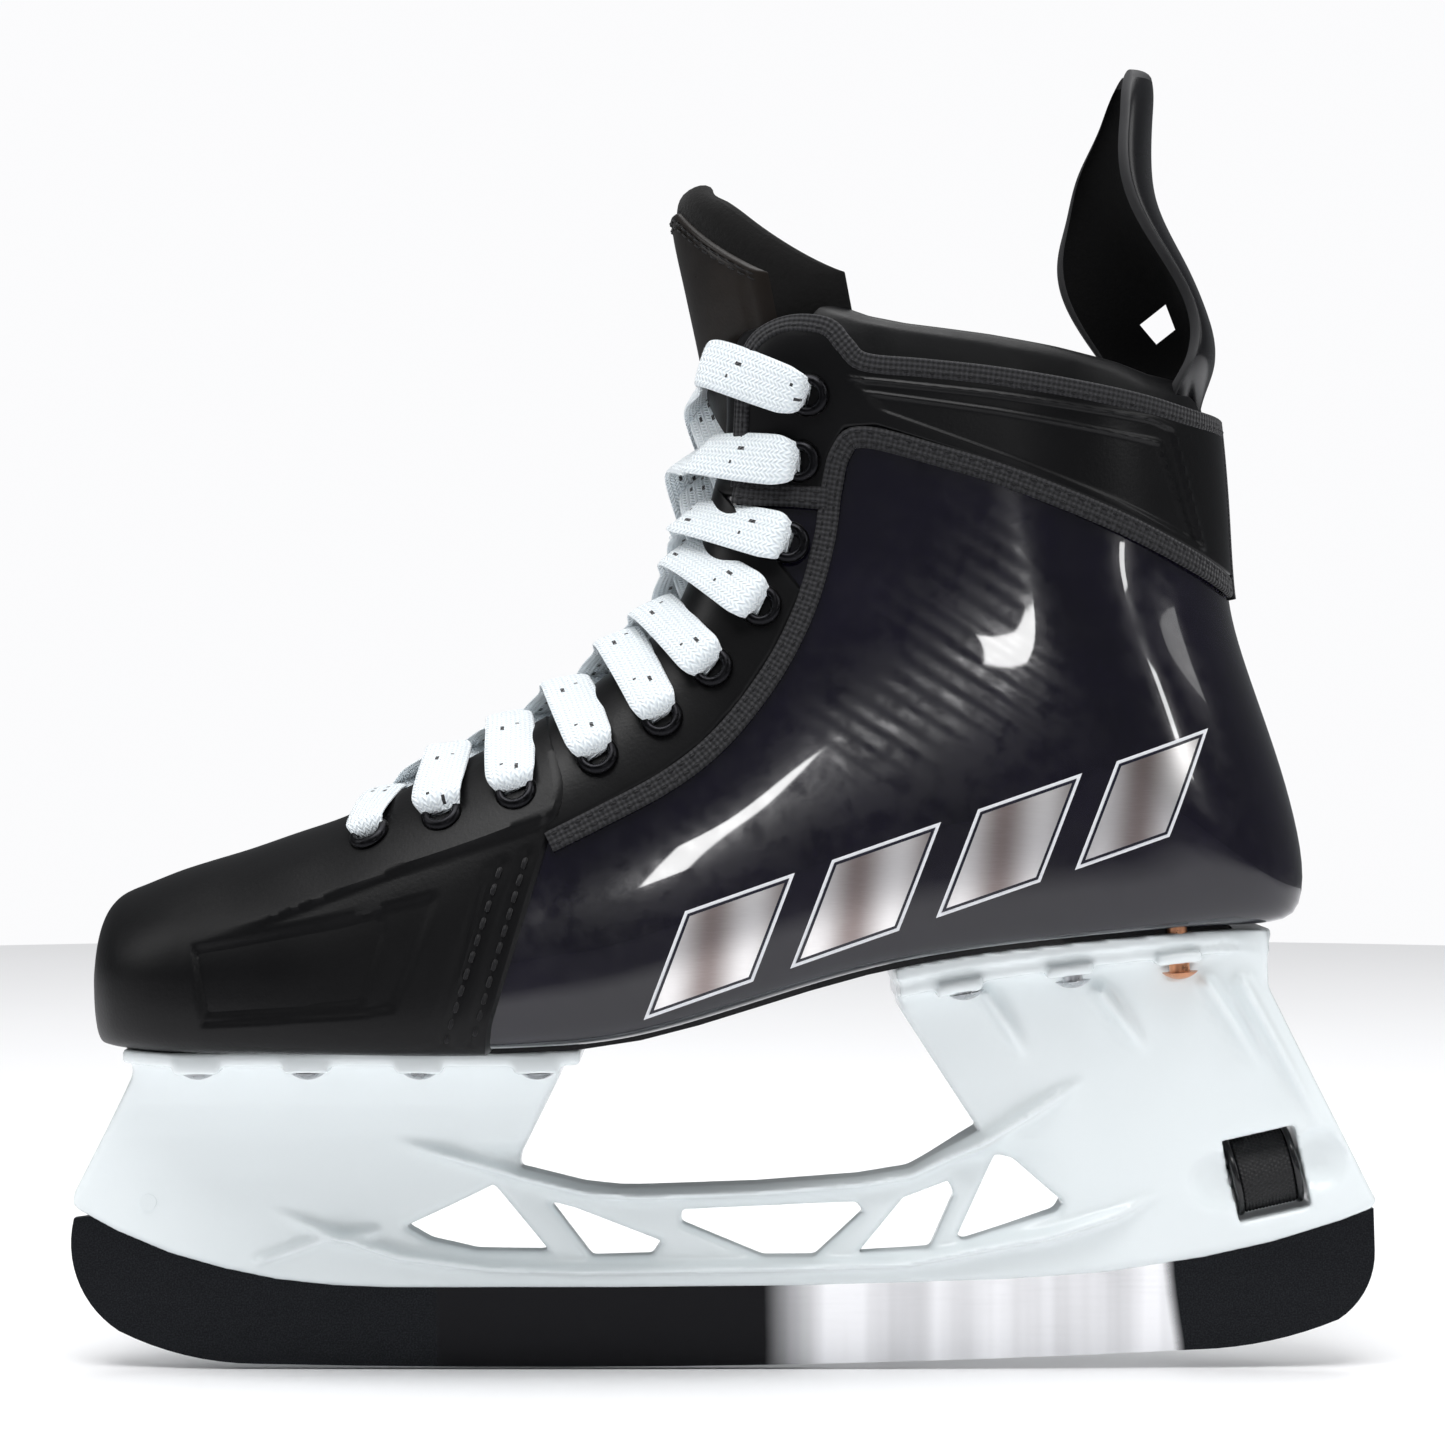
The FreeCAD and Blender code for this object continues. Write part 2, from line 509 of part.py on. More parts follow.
def crescent_loft(levels, thick, half, depth):
    """Curved plate wrapped round the shin: (z, front x, edge shift) per level."""
    wires = []
    for z, front, shift in levels:
        def arc(x0, grow):
            a = Vector(x0 + depth + shift, -half - grow, z)
            b = Vector(x0, 0, z)
            c = Vector(x0 + depth + shift, half + grow, z)
            return Part.Arc(a, b, c).toShape()
        outer, inner = arc(front, 0.0), arc(front + thick, -0.72 * thick)
        ends = [(outer.Vertexes[-1].Point, inner.Vertexes[-1].Point), (inner.Vertexes[0].Point, outer.Vertexes[0].Point)]
        lines = [Part.makeLine(a, b) for a, b in ends]
        wires.append(Part.Wire([outer, lines[0], inner, lines[1]]))
    return Part.makeLoft(wires, True, True)


# ---------------------------------------------------------------- tendon guard
# z, near-edge x and y, back x, far-edge x and y
GUARD_LEVELS = [
    (206.0, 106.0, -24.0, 111.6, 106.0, 24.0), (222.0, 105.0, -25.0, 111.2, 104.0, 26.0),
    (233.0, 105.5, -25.0, 112.0, 100.0, 27.0), (242.6, 108.5, -24.0, 113.0, 94.0, 28.0),
    (252.0, 108.0, -22.0, 110.6, 87.5, 28.0), (262.0, 103.0, -21.0, 106.6, 83.0, 28.0),
    (270.0, 98.0, -20.5, 102.6, 82.6, 27.5), (278.0, 94.2, -20.0, 99.4, 84.4, 26.0),
    (289.0, 92.6, -17.5, 98.2, 87.0, 21.5), (299.0, 93.6, -13.0, 98.6, 91.5, 15.0),
    (306.5, 94.8, -7.5, 98.8, 94.2, 8.5), (310.2, 96.2, -3.0, 98.2, 96.2, 3.5),
]


def guard_wire(level, inside, outside):
    """Closed plan section of the guard, from the inner skin to the outer skin."""
    z, nx, ny, bx, fx, fy = level

    def skin(offset):
        near, far = Vector(nx, ny, z), Vector(fx, fy, z)
        back = Vector(bx, 0, z)
        points = []
        for p in (near, back, far):
            away = Vector(1.0, 0, 0) if p is back else Vector(0.66, math.copysign(0.75, p.y), 0)
            points.append(p + away * offset)
        return Part.Arc(*points).toShape()
    a, b = skin(outside), skin(inside)
    start, end = a.Vertexes[0].Point, a.Vertexes[-1].Point
    return Part.Wire([a, Part.makeLine(end, b.Vertexes[-1].Point), b, Part.makeLine(b.Vertexes[0].Point, start)])


def make_guard_base(slack):
    levels = GUARD_LEVELS[:4]
    if slack:
        levels = [(z + (slack if i == 3 else (-slack if i == 0 else 0)),) + tuple(rest)
                  for i, (z, *rest) in enumerate(levels)]
    return Part.makeLoft([guard_wire(lv, -slack, 3.4 + slack) for lv in levels], True, True)


def make_guard(walls):
    save("guard_base", clear_of(make_guard_base(0.0), walls))
    upper_levels = [(243.0,) + GUARD_LEVELS[3][1:]] + GUARD_LEVELS[4:]
    upper = Part.makeLoft([guard_wire(lv, 0.0, 4.2) for lv in upper_levels], True, True)
    window = [(100.5, 255.5), (104.0, 259.5), (108.5, 251.5), (107.5, 247.6), (105.5, 247.2)]
    upper = upper.cut(plate(window, 0.0, 60.0))
    save("tendon_guard", upper)


# ---------------------------------------------------------------- holder
HOLDER_OUTLINE = [
    (-139.0, 76.0), (-139.9, 70.7), (-155.0, 42.1), (-155.6, 39.4), (-154.2, 37.8), (-145.1, 32.8), (-132.2, 27.4),
    (-119.4, 23.8), (-106.8, 21.2), (-93.9, 19.8), (-80.0, 19.2), (-24.4, 19.2), (20.0, 19.7), (66.1, 21.1),
    (92.0, 23.1), (114.6, 26.7), (131.0, 30.6), (147.5, 35.8), (154.6, 38.6), (155.8, 40.6), (154.4, 43.0),
    (129.0, 92.0), (128.0, 109.0), (40.5, 98.0), (42.0, 86.5), (61.0, 57.4), (44.6, 48.0), (32.5, 46.0),
    (8.0, 44.2), (-15.6, 43.4), (-24.4, 43.2), (-33.0, 44.2), (-48.4, 48.0), (-48.0, 51.5), (-38.4, 71.0),
    (-37.5, 76.0),
]
WINDOWS = [
    [(-74.9, 34.2), (-54.4, 43.2), (-42.3, 29.0), (-58.9, 29.4), (-69.6, 31.4)],
    [(-40.6, 39.4), (-34.9, 37.6), (-15.2, 30.4), (-17.2, 28.0), (-31.1, 27.6)],
    [(-9.2, 37.3), (32.0, 39.2), (32.6, 37.4), (21.3, 27.7), (10.1, 27.7), (-9.0, 34.9)],
    [(43.4, 40.3), (53.5, 44.2), (54.5, 41.6), (49.4, 29.7), (33.4, 28.7)],
    [(65.6, 50.6), (68.9, 49.7), (80.1, 40.1), (78.9, 38.2), (57.9, 32.2), (57.2, 33.4)],
]


def flange(stations, drop, half, thick):
    """Moulded plate that follows the sole."""
    return strip(stations, half, lambda s: (sole_r(s) + drop + thick, sole_r(s) + drop))


def profile_slab(x0, x1, profile0, profile1):
    """Loft between two front-view outlines given as (half width, height) lists."""
    def wire(x, profile):
        right = [Vector(x, y, z) for y, z in profile]
        left = [Vector(x, -y, z) for y, z in reversed(profile)]
        return Part.makePolygon(right + left + right[:1])
    return Part.makeLoft([wire(x0, profile0), wire(x1, profile1)], True, True)


def make_holder():
    body = plate(HOLDER_OUTLINE, -40.0, 40.0)
    low = [(4.4, 15.0), (4.9, 26.0), (6.0, 36.0), (7.4, 46.0), (9.6, 56.0), (13.0, 64.0), (19.0, 70.5), (23.0, 77.0)]
    front = profile_slab(-160.0, 0.0, [(0.55 * y if z > 60 else 0.8 * y, z) for y, z in low], low)
    rear_low = [(4.4, 15.0), (5.2, 26.0), (6.2, 36.0), (7.6, 46.0), (8.6, 56.0), (10.4, 68.0), (13.0, 78.0),
                (17.5, 89.0), (20.5, 99.0)]
    rear = profile_slab(0.0, 160.0, rear_low, [(y * (1.5 if 30 < z < 60 else 1.12), z) for y, z in rear_low])
    body = body.common(front.fuse(rear))

    front_stations = [(x - PIVOT_X) / TOE_STEP for x in (-138.5, -136.0, -128.0, -115.0, -95.0, -75.0, -55.0, -40.0, -33.5)]
    front_plate = flange(front_stations, 1.75, lambda s: min(30.5, sole_w(s) + 0.5), FRONT_FLANGE)
    front_plate = front_plate.cut(plate([(-33.0, 60.0), (-33.0, 90.0), (0.0, 90.0), (0.0, 60.0)], -50, 50))
    rear_plate = flange(frange(26.2, 47.6, 9), 1.75, lambda s: min(23.5, sole_w(s) - 0.5), REAR_FLANGE * 0.5)
    step_plate = flange(frange(26.7, 47.2, 9), 1.75, lambda s: min(22.3, sole_w(s) - 1.7), REAR_FLANGE)
    holder = body.fuse(front_plate).fuse(rear_plate).fuse(step_plate)
    for x, y, z, slope, thick in rivet_places():
        axis = rivet_axis(slope)
        seat = Vector(x, y, z) - axis * (thick + TAB_DROP)
        holder = holder.fuse(cylinder(5.6, TAB_DROP + 1.0, seat, axis))
    sole_room = strip(frange(-60.0, 48.8, 26), lambda s: 45.0, lambda s: (sole_r(s) + 1.74, sole_r(s) - 12.0))
    holder = holder.cut(sole_room).cut(make_outsole(0.02))
    for place in rivet_places():
        x, y, z, slope, thick = place
        axis = rivet_axis(slope)
        seat = Vector(x, y, z) - axis * (thick + TAB_DROP)
        holder = holder.cut(rivet_shank(place, 0.0)).cut(cylinder(RIVET_HEAD + 0.2, 4.0, seat - axis * 4.0, axis))
    for window in WINDOWS:
        holder = holder.cut(plate(window, -30.0, 30.0))
    # groove for the runner, deeper where its tangs rise into the towers
    slot = RUNNER_THICK / 2 + 0.06
    groove = [(-170.0, 20.0), (-170.0, 39.6), (-152.0, 39.6), (-146.0, 48.0), (-121.0, 48.0), (-121.0, 30.5),
              (-107.0, 26.0), (-80.0, 23.6), (0.0, 23.3), (66.0, 25.2), (97.0, 28.6), (97.0, 50.0), (119.1, 50.0),
              (119.1, 33.4), (140.0, 38.2), (152.0, 42.2), (170.0, 44.0), (170.0, 10.0), (-170.0, 10.0)]
    holder = holder.cut(plate(groove, -slot, slot))
    holder = holder.cut(cylinder(PIN_RADIUS, 40.0, Vector(ANCHOR[0], -20.0, ANCHOR[1]), Vector(0, 1, 0)))
    axis, centre = wheel_axis()
    up = Vector(-axis.z, 0, axis.x)
    corners = [centre + axis * (i * (WHEEL_LENGTH / 2 + 0.35)) + up * (j * (WHEEL_RADIUS + 0.35))
               for i, j in ((-1, -1), (1, -1), (1, 1), (-1, 1))]
    holder = holder.cut(plate([(c.x, c.z) for c in corners], -30.0, 30.0))
    holder = holder.cut(cylinder(BOLT_RADIUS + 0.06, 40.0, centre - axis * 20.5, axis))
    # thumb scoops either side of the wheel
    for side in (-1, 1):
        scoop = Part.makeCylinder(9.0, 44.0, centre - axis * 22.0 + Vector(0, side * 17.0, 0), axis)
        holder = holder.cut(scoop)
    solids = sorted(holder.Solids, key=lambda s: -s.Volume)
    save("holder", solids[0])

    pin = cylinder(PIN_RADIUS, 11.0, Vector(ANCHOR[0], -5.5, ANCHOR[1]), Vector(0, 1, 0))
    save("anchor_pin", pin)


def wheel_axis():
    a = math.radians(WHEEL_TILT)
    return Vector(math.cos(a), 0, math.sin(a)), Vector(WHEEL_CENTRE[0], 0, WHEEL_CENTRE[1])


def make_wheel():
    axis, centre = wheel_axis()
    start = centre - axis * (WHEEL_LENGTH / 2)
    drum = cylinder(WHEEL_RADIUS - 0.7, WHEEL_LENGTH - 4.0, start + axis * 2.0, axis)
    bore = cylinder(BOLT_RADIUS + 0.05, 60.0, centre - axis * 30, axis)
    save("thumb_wheel", drum.cut(bore))
    rims = []
    for offset in (0.0, WHEEL_LENGTH - 1.95):
        rims.append(cylinder(WHEEL_RADIUS, 1.95, start + axis * offset, axis).cut(bore))
    save("wheel_rims", compound(rims))
    rod = cylinder(BOLT_RADIUS, BOLT_LENGTH, centre + axis * BOLT_START, axis)
    save("lock_bolt", rod)


# ---------------------------------------------------------------- runner
def make_runner():
    """Steel blade: rocker below, anchor notch in front and a clamped tang behind."""
    def rocker(x):
        return (x - ROCKER_X) ** 2 / (2 * ROCKER_RADIUS)
    half = RUNNER_THICK / 2
    front_low, rear_low = -112.0, 114.0

    def arc(a, b, c):
        return Part.Arc(*[Vector(x, -half, z) for x, z in (a, b, c)]).toShape()

    def line(points):
        return [Part.makeLine(Vector(*(p[0], -half, p[1])), Vector(*(q[0], -half, q[1])))
                for p, q in zip(points, points[1:])]

    nose_top, tail_top = (-155.4, 35.6), (156.0, 38.0)
    edges = [arc((front_low, rocker(front_low)), (ROCKER_X, 0.0), (rear_low, rocker(rear_low)))]
    edges.append(arc((rear_low, rocker(rear_low)), (132.6, 6.6), (147.6, 11.4)))
    edges.append(arc((147.6, 11.4), (153.6, 17.6), (156.3, 28.0)))
    reach = 255.8
    tang_rear = [(ANCHOR[0] + reach * math.cos(math.radians(a)), ANCHOR[1] + reach * math.sin(math.radians(a)))
                 for a in (-1.5, 0.2, 1.9)]
    top = [(156.3, 28.0), tail_top, (140.0, 34.6), tang_rear[0]]
    edges += line(top)
    edges.append(arc(*tang_rear))
    upper = [tang_rear[2], (100.5, 47.8), (99.0, 28.2), (66.0, 23.4), (0.0, 22.4), (-80.0, 22.6), (-107.0, 24.6),
             (-121.5, 28.4), (-122.5, 44.6), (-134.0, 45.2)]
    edges += line(upper)
    # notch that hooks over the anchor pin, open towards the toe
    mouth = PIN_RADIUS + PIN_CLEARANCE
    edges += line([(-134.0, 45.2), (-144.0, 44.4), (-145.6, ANCHOR[1] + mouth), (ANCHOR[0], ANCHOR[1] + mouth)])
    edges.append(arc((ANCHOR[0], ANCHOR[1] + mouth), (ANCHOR[0] + mouth, ANCHOR[1]), (ANCHOR[0], ANCHOR[1] - mouth)))
    edges += line([(ANCHOR[0], ANCHOR[1] - mouth), (-147.0, ANCHOR[1] - mouth - 1.2), nose_top])
    edges.append(arc(nose_top, (-151.8, 15.6), (-144.6, 8.6)))
    edges.append(arc((-144.6, 8.6), (-131.0, 3.4), (front_low, rocker(front_low))))
    wire = Part.Wire(Part.__sortEdges__(edges))
    save("runner", Part.Face(wire).extrude(Vector(0, RUNNER_THICK, 0)))


if __name__ == "__main__":
    make_runner()
    make_holder()
    make_wheel()
    make_rivets()
    make_eyelets()
    make_lace()
    boot_walls = make_boot()
    make_guard(boot_walls)
    make_tongue(boot_walls)
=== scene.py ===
"""Ice hockey skate for the left foot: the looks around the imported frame.

Shapes are worked out in millimetres and written in metres. +Z up, toe towards -X, outer (lateral) side towards -Y.
"""
import math

import bmesh
import bpy
import numpy as np
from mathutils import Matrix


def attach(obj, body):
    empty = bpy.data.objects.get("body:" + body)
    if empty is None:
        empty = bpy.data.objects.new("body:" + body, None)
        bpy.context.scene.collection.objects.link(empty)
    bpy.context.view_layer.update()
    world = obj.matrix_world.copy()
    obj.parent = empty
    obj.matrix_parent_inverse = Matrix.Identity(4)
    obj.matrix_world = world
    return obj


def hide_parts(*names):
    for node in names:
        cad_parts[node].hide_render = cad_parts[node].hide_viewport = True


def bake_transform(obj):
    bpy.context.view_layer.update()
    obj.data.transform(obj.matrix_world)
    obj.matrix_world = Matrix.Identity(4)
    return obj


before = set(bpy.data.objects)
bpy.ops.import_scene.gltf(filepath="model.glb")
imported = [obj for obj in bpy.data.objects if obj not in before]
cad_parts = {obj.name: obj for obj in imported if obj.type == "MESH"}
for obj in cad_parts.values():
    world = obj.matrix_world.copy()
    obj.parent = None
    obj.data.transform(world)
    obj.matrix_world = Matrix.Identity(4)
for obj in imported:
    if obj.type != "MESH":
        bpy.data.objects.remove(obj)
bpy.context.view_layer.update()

import openvdb

MM = 0.001
SIDES = {"lateral": -1.0, "medial": 1.0}
SHELL_START, SHELL_WALL, SHELL_GAP = -24.0, 2.6, 2.9
LINING_START, LINING_INSIDE, LINING_DROP = -23.0, 5.4, 26.0
TOE_START, CAP_THICK, CAP_INSIDE, CROWN_LENGTH = -61.0, 1.5, 0.12, 34.5
NOSE_RINGS, NOSE_BULGE = (0.01, 0.25, 0.5, 0.72, 0.88), 1.6
TRIM_BASE, TRIM_THICK, TRIM_INSIDE = 0.3, 1.05, 0.05
LACE_HALF_WIDTH, LACE_HEIGHT, LACE_BACK = 5.7, 0.9, 0.7
SHIELD_WIDTH, SHIELD_FOOT, SHIELD_HEIGHT = 0.86, 0.66, 80.0

# ------------------------------------------------------------------ boot outline, as in the CAD source
PIVOT_X, PIVOT_Z, TOE_STEP = -40.0, 258.0, 1.763
SOLE_RADIUS = [
    (-61.0, 171.5), (-60.2, 176.0), (-59.0, 177.8), (-56.0, 178.2), (-40.0, 178.2), (-20.0, 178.1),
    (0.0, 178.0), (4.8, 177.4), (11.4, 175.7), (19.2, 175.0), (27.7, 179.2), (36.2, 191.3),
    (42.2, 205.3), (46.5, 219.5), (48.4, 227.0), (49.6, 229.9), (50.8, 229.2), (54.3, 217.6),
    (58.7, 198.5), (64.0, 180.2), (67.0, 174.3), (71.0, 168.8), (79.0, 160.4), (84.0, 156.3), (90.0, 152.5),
]
TOP_RADIUS = [
    (-61.0, 158.0), (-60.2, 152.5), (-59.0, 148.2), (-56.0, 144.6), (-51.0, 140.9), (-42.0, 135.9),
    (-34.5, 131.4), (-28.4, 127.7), (-22.0, 122.4), (-17.2, 118.5), (-9.5, 112.0), (0.0, 102.8),
    (5.8, 96.7), (12.1, 90.7), (19.5, 84.8), (29.2, 72.3), (39.0, 62.3), (47.5, 56.5), (54.1, 52.0),
    (62.0, 48.0), (69.1, 47.2), (75.2, 48.4), (81.0, 53.0), (90.0, 60.0),
]
HALF_WIDTH = [
    (-61.0, 13.0), (-60.2, 20.5), (-59.0, 26.5), (-56.0, 33.0), (-51.0, 38.2), (-42.0, 43.2), (-30.0, 47.6),
    (-16.0, 49.4), (-4.0, 48.6), (8.0, 46.2), (20.0, 43.2), (32.0, 40.8), (44.0, 39.0), (52.0, 38.4),
    (62.0, 39.4), (72.0, 41.0), (84.0, 41.5), (90.0, 41.5),
]
SOLE_HALF_WIDTH = [
    (-61.0, 5.0), (-60.2, 11.0), (-59.0, 16.0), (-56.0, 22.5), (-51.0, 28.5), (-42.0, 34.5), (-30.0, 39.0),
    (-16.0, 40.0), (-4.0, 36.5), (8.0, 31.5), (20.0, 28.5), (32.0, 28.0), (40.0, 26.5), (45.0, 21.0),
    (48.2, 12.5), (51.0, 5.0), (56.0, 1.5), (70.0, 1.0), (90.0, 1.0),
]
THROAT_HALF_WIDTH = [
    (-61.0, 3.0), (-52.0, 6.0), (-36.0, 9.0), (-24.0, 12.5), (-10.0, 15.0), (6.0, 17.5), (24.0, 19.5),
    (45.0, 21.0), (65.0, 22.0), (90.0, 22.5),
]
LOWER_POWER = [(-61.0, 2.2), (-30.0, 2.8), (0.0, 2.8), (25.0, 2.5), (45.0, 2.2), (55.0, 2.0), (90.0, 2.2)]
UPPER_POWER = [(-61.0, 2.1), (-25.0, 2.1), (0.0, 2.3), (30.0, 2.2), (60.0, 2.5), (90.0, 2.6)]
WIDEST_AT = [(-61.0, 0.45), (-40.0, 0.34), (-10.0, 0.30), (10.0, 0.34), (30.0, 0.46), (55.0, 0.50),
             (90.0, 0.48)]

# Side-view lines (x, z) shared with the CAD source
TOE_EDGE = [(-40.4, 157.0), (-36.2, 143.0), (-36.0, 138.5), (-40.2, 126.0), (-52.4, 85.0), (-53.5, 74.0)]
FACING_REAR = [
    (-38.5, 128.6), (-28.1, 134.2), (-14.3, 141.6), (-4.0, 149.4), (4.5, 158.6), (12.2, 170.0),
    (18.0, 181.8), (22.2, 196.0), (23.4, 205.6),
]
BINDING_LINE = [
    (-39.4, 127.0), (-27.6, 132.9), (-13.7, 140.3), (-3.1, 148.1), (5.7, 157.7), (13.7, 169.6), (19.6, 182.4),
    (23.5, 196.5), (25.2, 208.0), (27.4, 216.6), (32.5, 219.9), (50.0, 215.4), (65.6, 210.5), (90.9, 200.6),
    (110.0, 191.6), (119.5, 186.4),
]
CUFF_LOWER = [(-20.0, 206.8), (23.4, 206.8), (24.6, 214.5), (28.2, 221.6), (35.5, 222.2), (65.8, 212.6),
              (90.9, 202.9), (118.0, 189.9), (132.0, 186.0)]
CUFF_TOP = [(-20.0, 246.0), (5.0, 246.6), (15.4, 248.4), (25.7, 247.4), (30.6, 240.6), (34.2, 238.0),
            (60.7, 235.3), (95.5, 229.7), (112.0, 226.2), (132.0, 225.0)]
COLLAR_TOP = [(-20.0, 248.0), (12.0, 250.6), (24.0, 251.6), (33.0, 248.2), (41.6, 246.4), (60.9, 243.8),
              (76.9, 241.0), (91.8, 237.8), (100.0, 235.4), (118.0, 233.2), (140.0, 232.4)]
EYELETS = [
    (-80.5, 127.6), (-63.7, 132.5), (-46.8, 137.9), (-28.3, 146.3), (-13.7, 155.1), (-2.0, 166.8),
    (9.0, 181.0), (15.3, 195.5), (18.1, 214.6), (20.1, 229.6),
]
BADGE_BARS = [(-18.0, 86.5, 25.0), (15.5, 98.0, 25.0), (49.0, 109.5, 24.0), (81.0, 120.5, 22.0)]


class Smooth:
    """Natural cubic curve through a short table of (station, value) pairs."""

    def __init__(self, table):
        self.x, self.y = np.array(table, float).T
        n, h = len(self.x), np.diff(self.x)
        a, b = np.eye(n), np.zeros(n)
        for i in range(1, n - 1):
            a[i, i - 1:i + 2] = h[i - 1], 2 * (h[i - 1] + h[i]), h[i]
            b[i] = 6 * ((self.y[i + 1] - self.y[i]) / h[i] - (self.y[i] - self.y[i - 1]) / h[i - 1])
        self.m = np.linalg.solve(a, b)

    def __call__(self, s):
        s = np.clip(s, self.x[0], self.x[-1])
        i = np.clip(np.searchsorted(self.x, s) - 1, 0, len(self.x) - 2)
        h = self.x[i + 1] - self.x[i]
        a, b = (self.x[i + 1] - s) / h, (s - self.x[i]) / h
        bend = ((a ** 3 - a) * self.m[i] + (b ** 3 - b) * self.m[i + 1]) * h * h / 6
        return a * self.y[i] + b * self.y[i + 1] + bend


sole_r, top_r, half_w = Smooth(SOLE_RADIUS), Smooth(TOP_RADIUS), Smooth(HALF_WIDTH)
sole_w, throat_w = Smooth(SOLE_HALF_WIDTH), Smooth(THROAT_HALF_WIDTH)
low_p, up_p, widest = Smooth(LOWER_POWER), Smooth(UPPER_POWER), Smooth(WIDEST_AT)


def side_point(s, r, d=0.0):
    """Side-view place of station s (a slice ahead of the pivot, degrees behind it) at radius r."""
    s, r = np.broadcast_arrays(np.asarray(s, float), np.asarray(r, float))
    a = np.radians(np.maximum(s, 0.0))
    nose = d * np.clip((-s - 48.0) / 12.0, 0.0, 1.0)
    x = np.where(s > 0, PIVOT_X + r * np.sin(a), PIVOT_X + s * TOE_STEP - nose)
    return x, np.where(s > 0, PIVOT_Z - r * np.cos(a), PIVOT_Z - r)


def station(x, z):
    """Station and radius of a side-view place."""
    x, z = np.asarray(x, float), np.asarray(z, float)
    ahead = x <= PIVOT_X
    s = np.where(ahead, (x - PIVOT_X) / TOE_STEP, np.degrees(np.arctan2(x - PIVOT_X, PIVOT_Z - z)))
    return s, np.where(ahead, PIVOT_Z - z, np.hypot(x - PIVOT_X, PIVOT_Z - z))


def toe_bend(s):
    """Sideways curve of the left foot's last towards the big toe."""
    return 4.5 * (np.maximum(0.0, -np.asarray(s, float) - 12.0) / 49.0) ** 2


def half_at(s, r, d=0.0):
    """Half width of the boot's section at station s and radius r, offset outwards by d."""
    bottom, top, full = sole_r(s) + d, top_r(s) - d, half_w(s) + d
    v, w = np.clip((bottom - r) / (bottom - top), 0.0, 1.0), widest(s)
    low_end = np.maximum(0.4, np.minimum(sole_w(s) + 0.6 * d, full - 0.5))
    up_end = np.minimum(throat_w(s), full - 0.5)
    p, q = low_p(s), up_p(s)
    low = low_end + (full - low_end) * (1 - (1 - np.minimum(v / w, 1.0)) ** p) ** (1 / p)
    up = up_end + (full - up_end) * (1 - np.clip((v - w) / (1 - w), 0.0, 1.0) ** q) ** (1 / q)
    return np.where(v < w, low, up)


def boot_point(s, v, side, d=0.0):
    """Point of the boot's skin: station, height fraction from sole to throat edge, side and offset."""
    s, v, side, d = np.broadcast_arrays(*[np.asarray(a, float) for a in (s, v, side, d)])
    bottom, top = sole_r(s) + d, top_r(s) - d
    r = bottom + v * (top - bottom)
    x, z = side_point(s, r, d)
    return np.stack([x, toe_bend(s) + side * half_at(s, r, d), z], -1)


def skin_point(x, z, side, d=0.0):
    """Point of the boot's skin seen at (x, z) in the side view."""
    s, r = station(x, z)
    return np.stack([np.asarray(x, float), toe_bend(s) + side * half_at(s, r, d), np.asarray(z, float)], -1)


def skin_normal(x, z, side):
    """Outward normal of the boot at a side-view place, from points e away."""
    e = 1.2
    n = np.cross(skin_point(x + e, z, side) - skin_point(x - e, z, side),
                 skin_point(x, z + e, side) - skin_point(x, z - e, side))
    n *= np.where(n[..., 1:2] * side < 0, -1.0, 1.0)
    return n / np.linalg.norm(n, axis=-1, keepdims=True)


def unit(a):
    return a / np.maximum(np.linalg.norm(a, axis=-1, keepdims=True), 1e-9)


def line_z(points, x):
    """Height of a side-view line at x."""
    return np.interp(x, [p[0] for p in points], [p[1] for p in points])


def to_polyline(x, z, points, closed=False):
    """Distance from side-view places to a polyline, with the fraction along it of the nearest place."""
    pts = np.array(points + points[:1] if closed else points, float)
    best, where = np.full(np.shape(x), 1e9), np.zeros(np.shape(x))
    steps = np.linalg.norm(np.diff(pts, axis=0), axis=1)
    total, done = steps.sum(), 0.0
    for a, b, step in zip(pts[:-1], pts[1:], steps):
        t = np.clip(((x - a[0]) * (b[0] - a[0]) + (z - a[1]) * (b[1] - a[1])) / step ** 2, 0, 1)
        dist = np.hypot(x - a[0] - t * (b[0] - a[0]), z - a[1] - t * (b[1] - a[1]))
        where = np.where(dist < best, (done + t * step) / total, where)
        best = np.minimum(best, dist)
        done += step
    return best, where


def inside(x, z, points):
    """Signed distance to a closed outline, negative inside."""
    dist, _ = to_polyline(x, z, points, True)
    pts = np.array(points, float)
    odd = np.zeros(np.shape(x), bool)
    for a, b in zip(pts, np.roll(pts, -1, axis=0)):
        if a[1] != b[1]:
            cross = (b[0] - a[0]) * (z - a[1]) / (b[1] - a[1]) + a[0]
            odd ^= ((a[1] > z) != (b[1] > z)) & (x < cross)
    return np.where(odd, -dist, dist)


def step_up(x, low, high):
    """Smooth step from 0 at low to 1 at high."""
    t = np.clip((x - low) / (high - low), 0, 1)
    return t * t * (3 - 2 * t)


def run_length(points):
    """Distance along a line of points, from 0 at the first."""
    return np.concatenate([[0], np.cumsum(np.linalg.norm(np.diff(points, axis=0), axis=1))])


def along_line(at, length, points):
    """Places at the given distances along a line of points."""
    return np.stack([np.interp(at, length, points[:, k]) for k in range(points.shape[1])], -1)


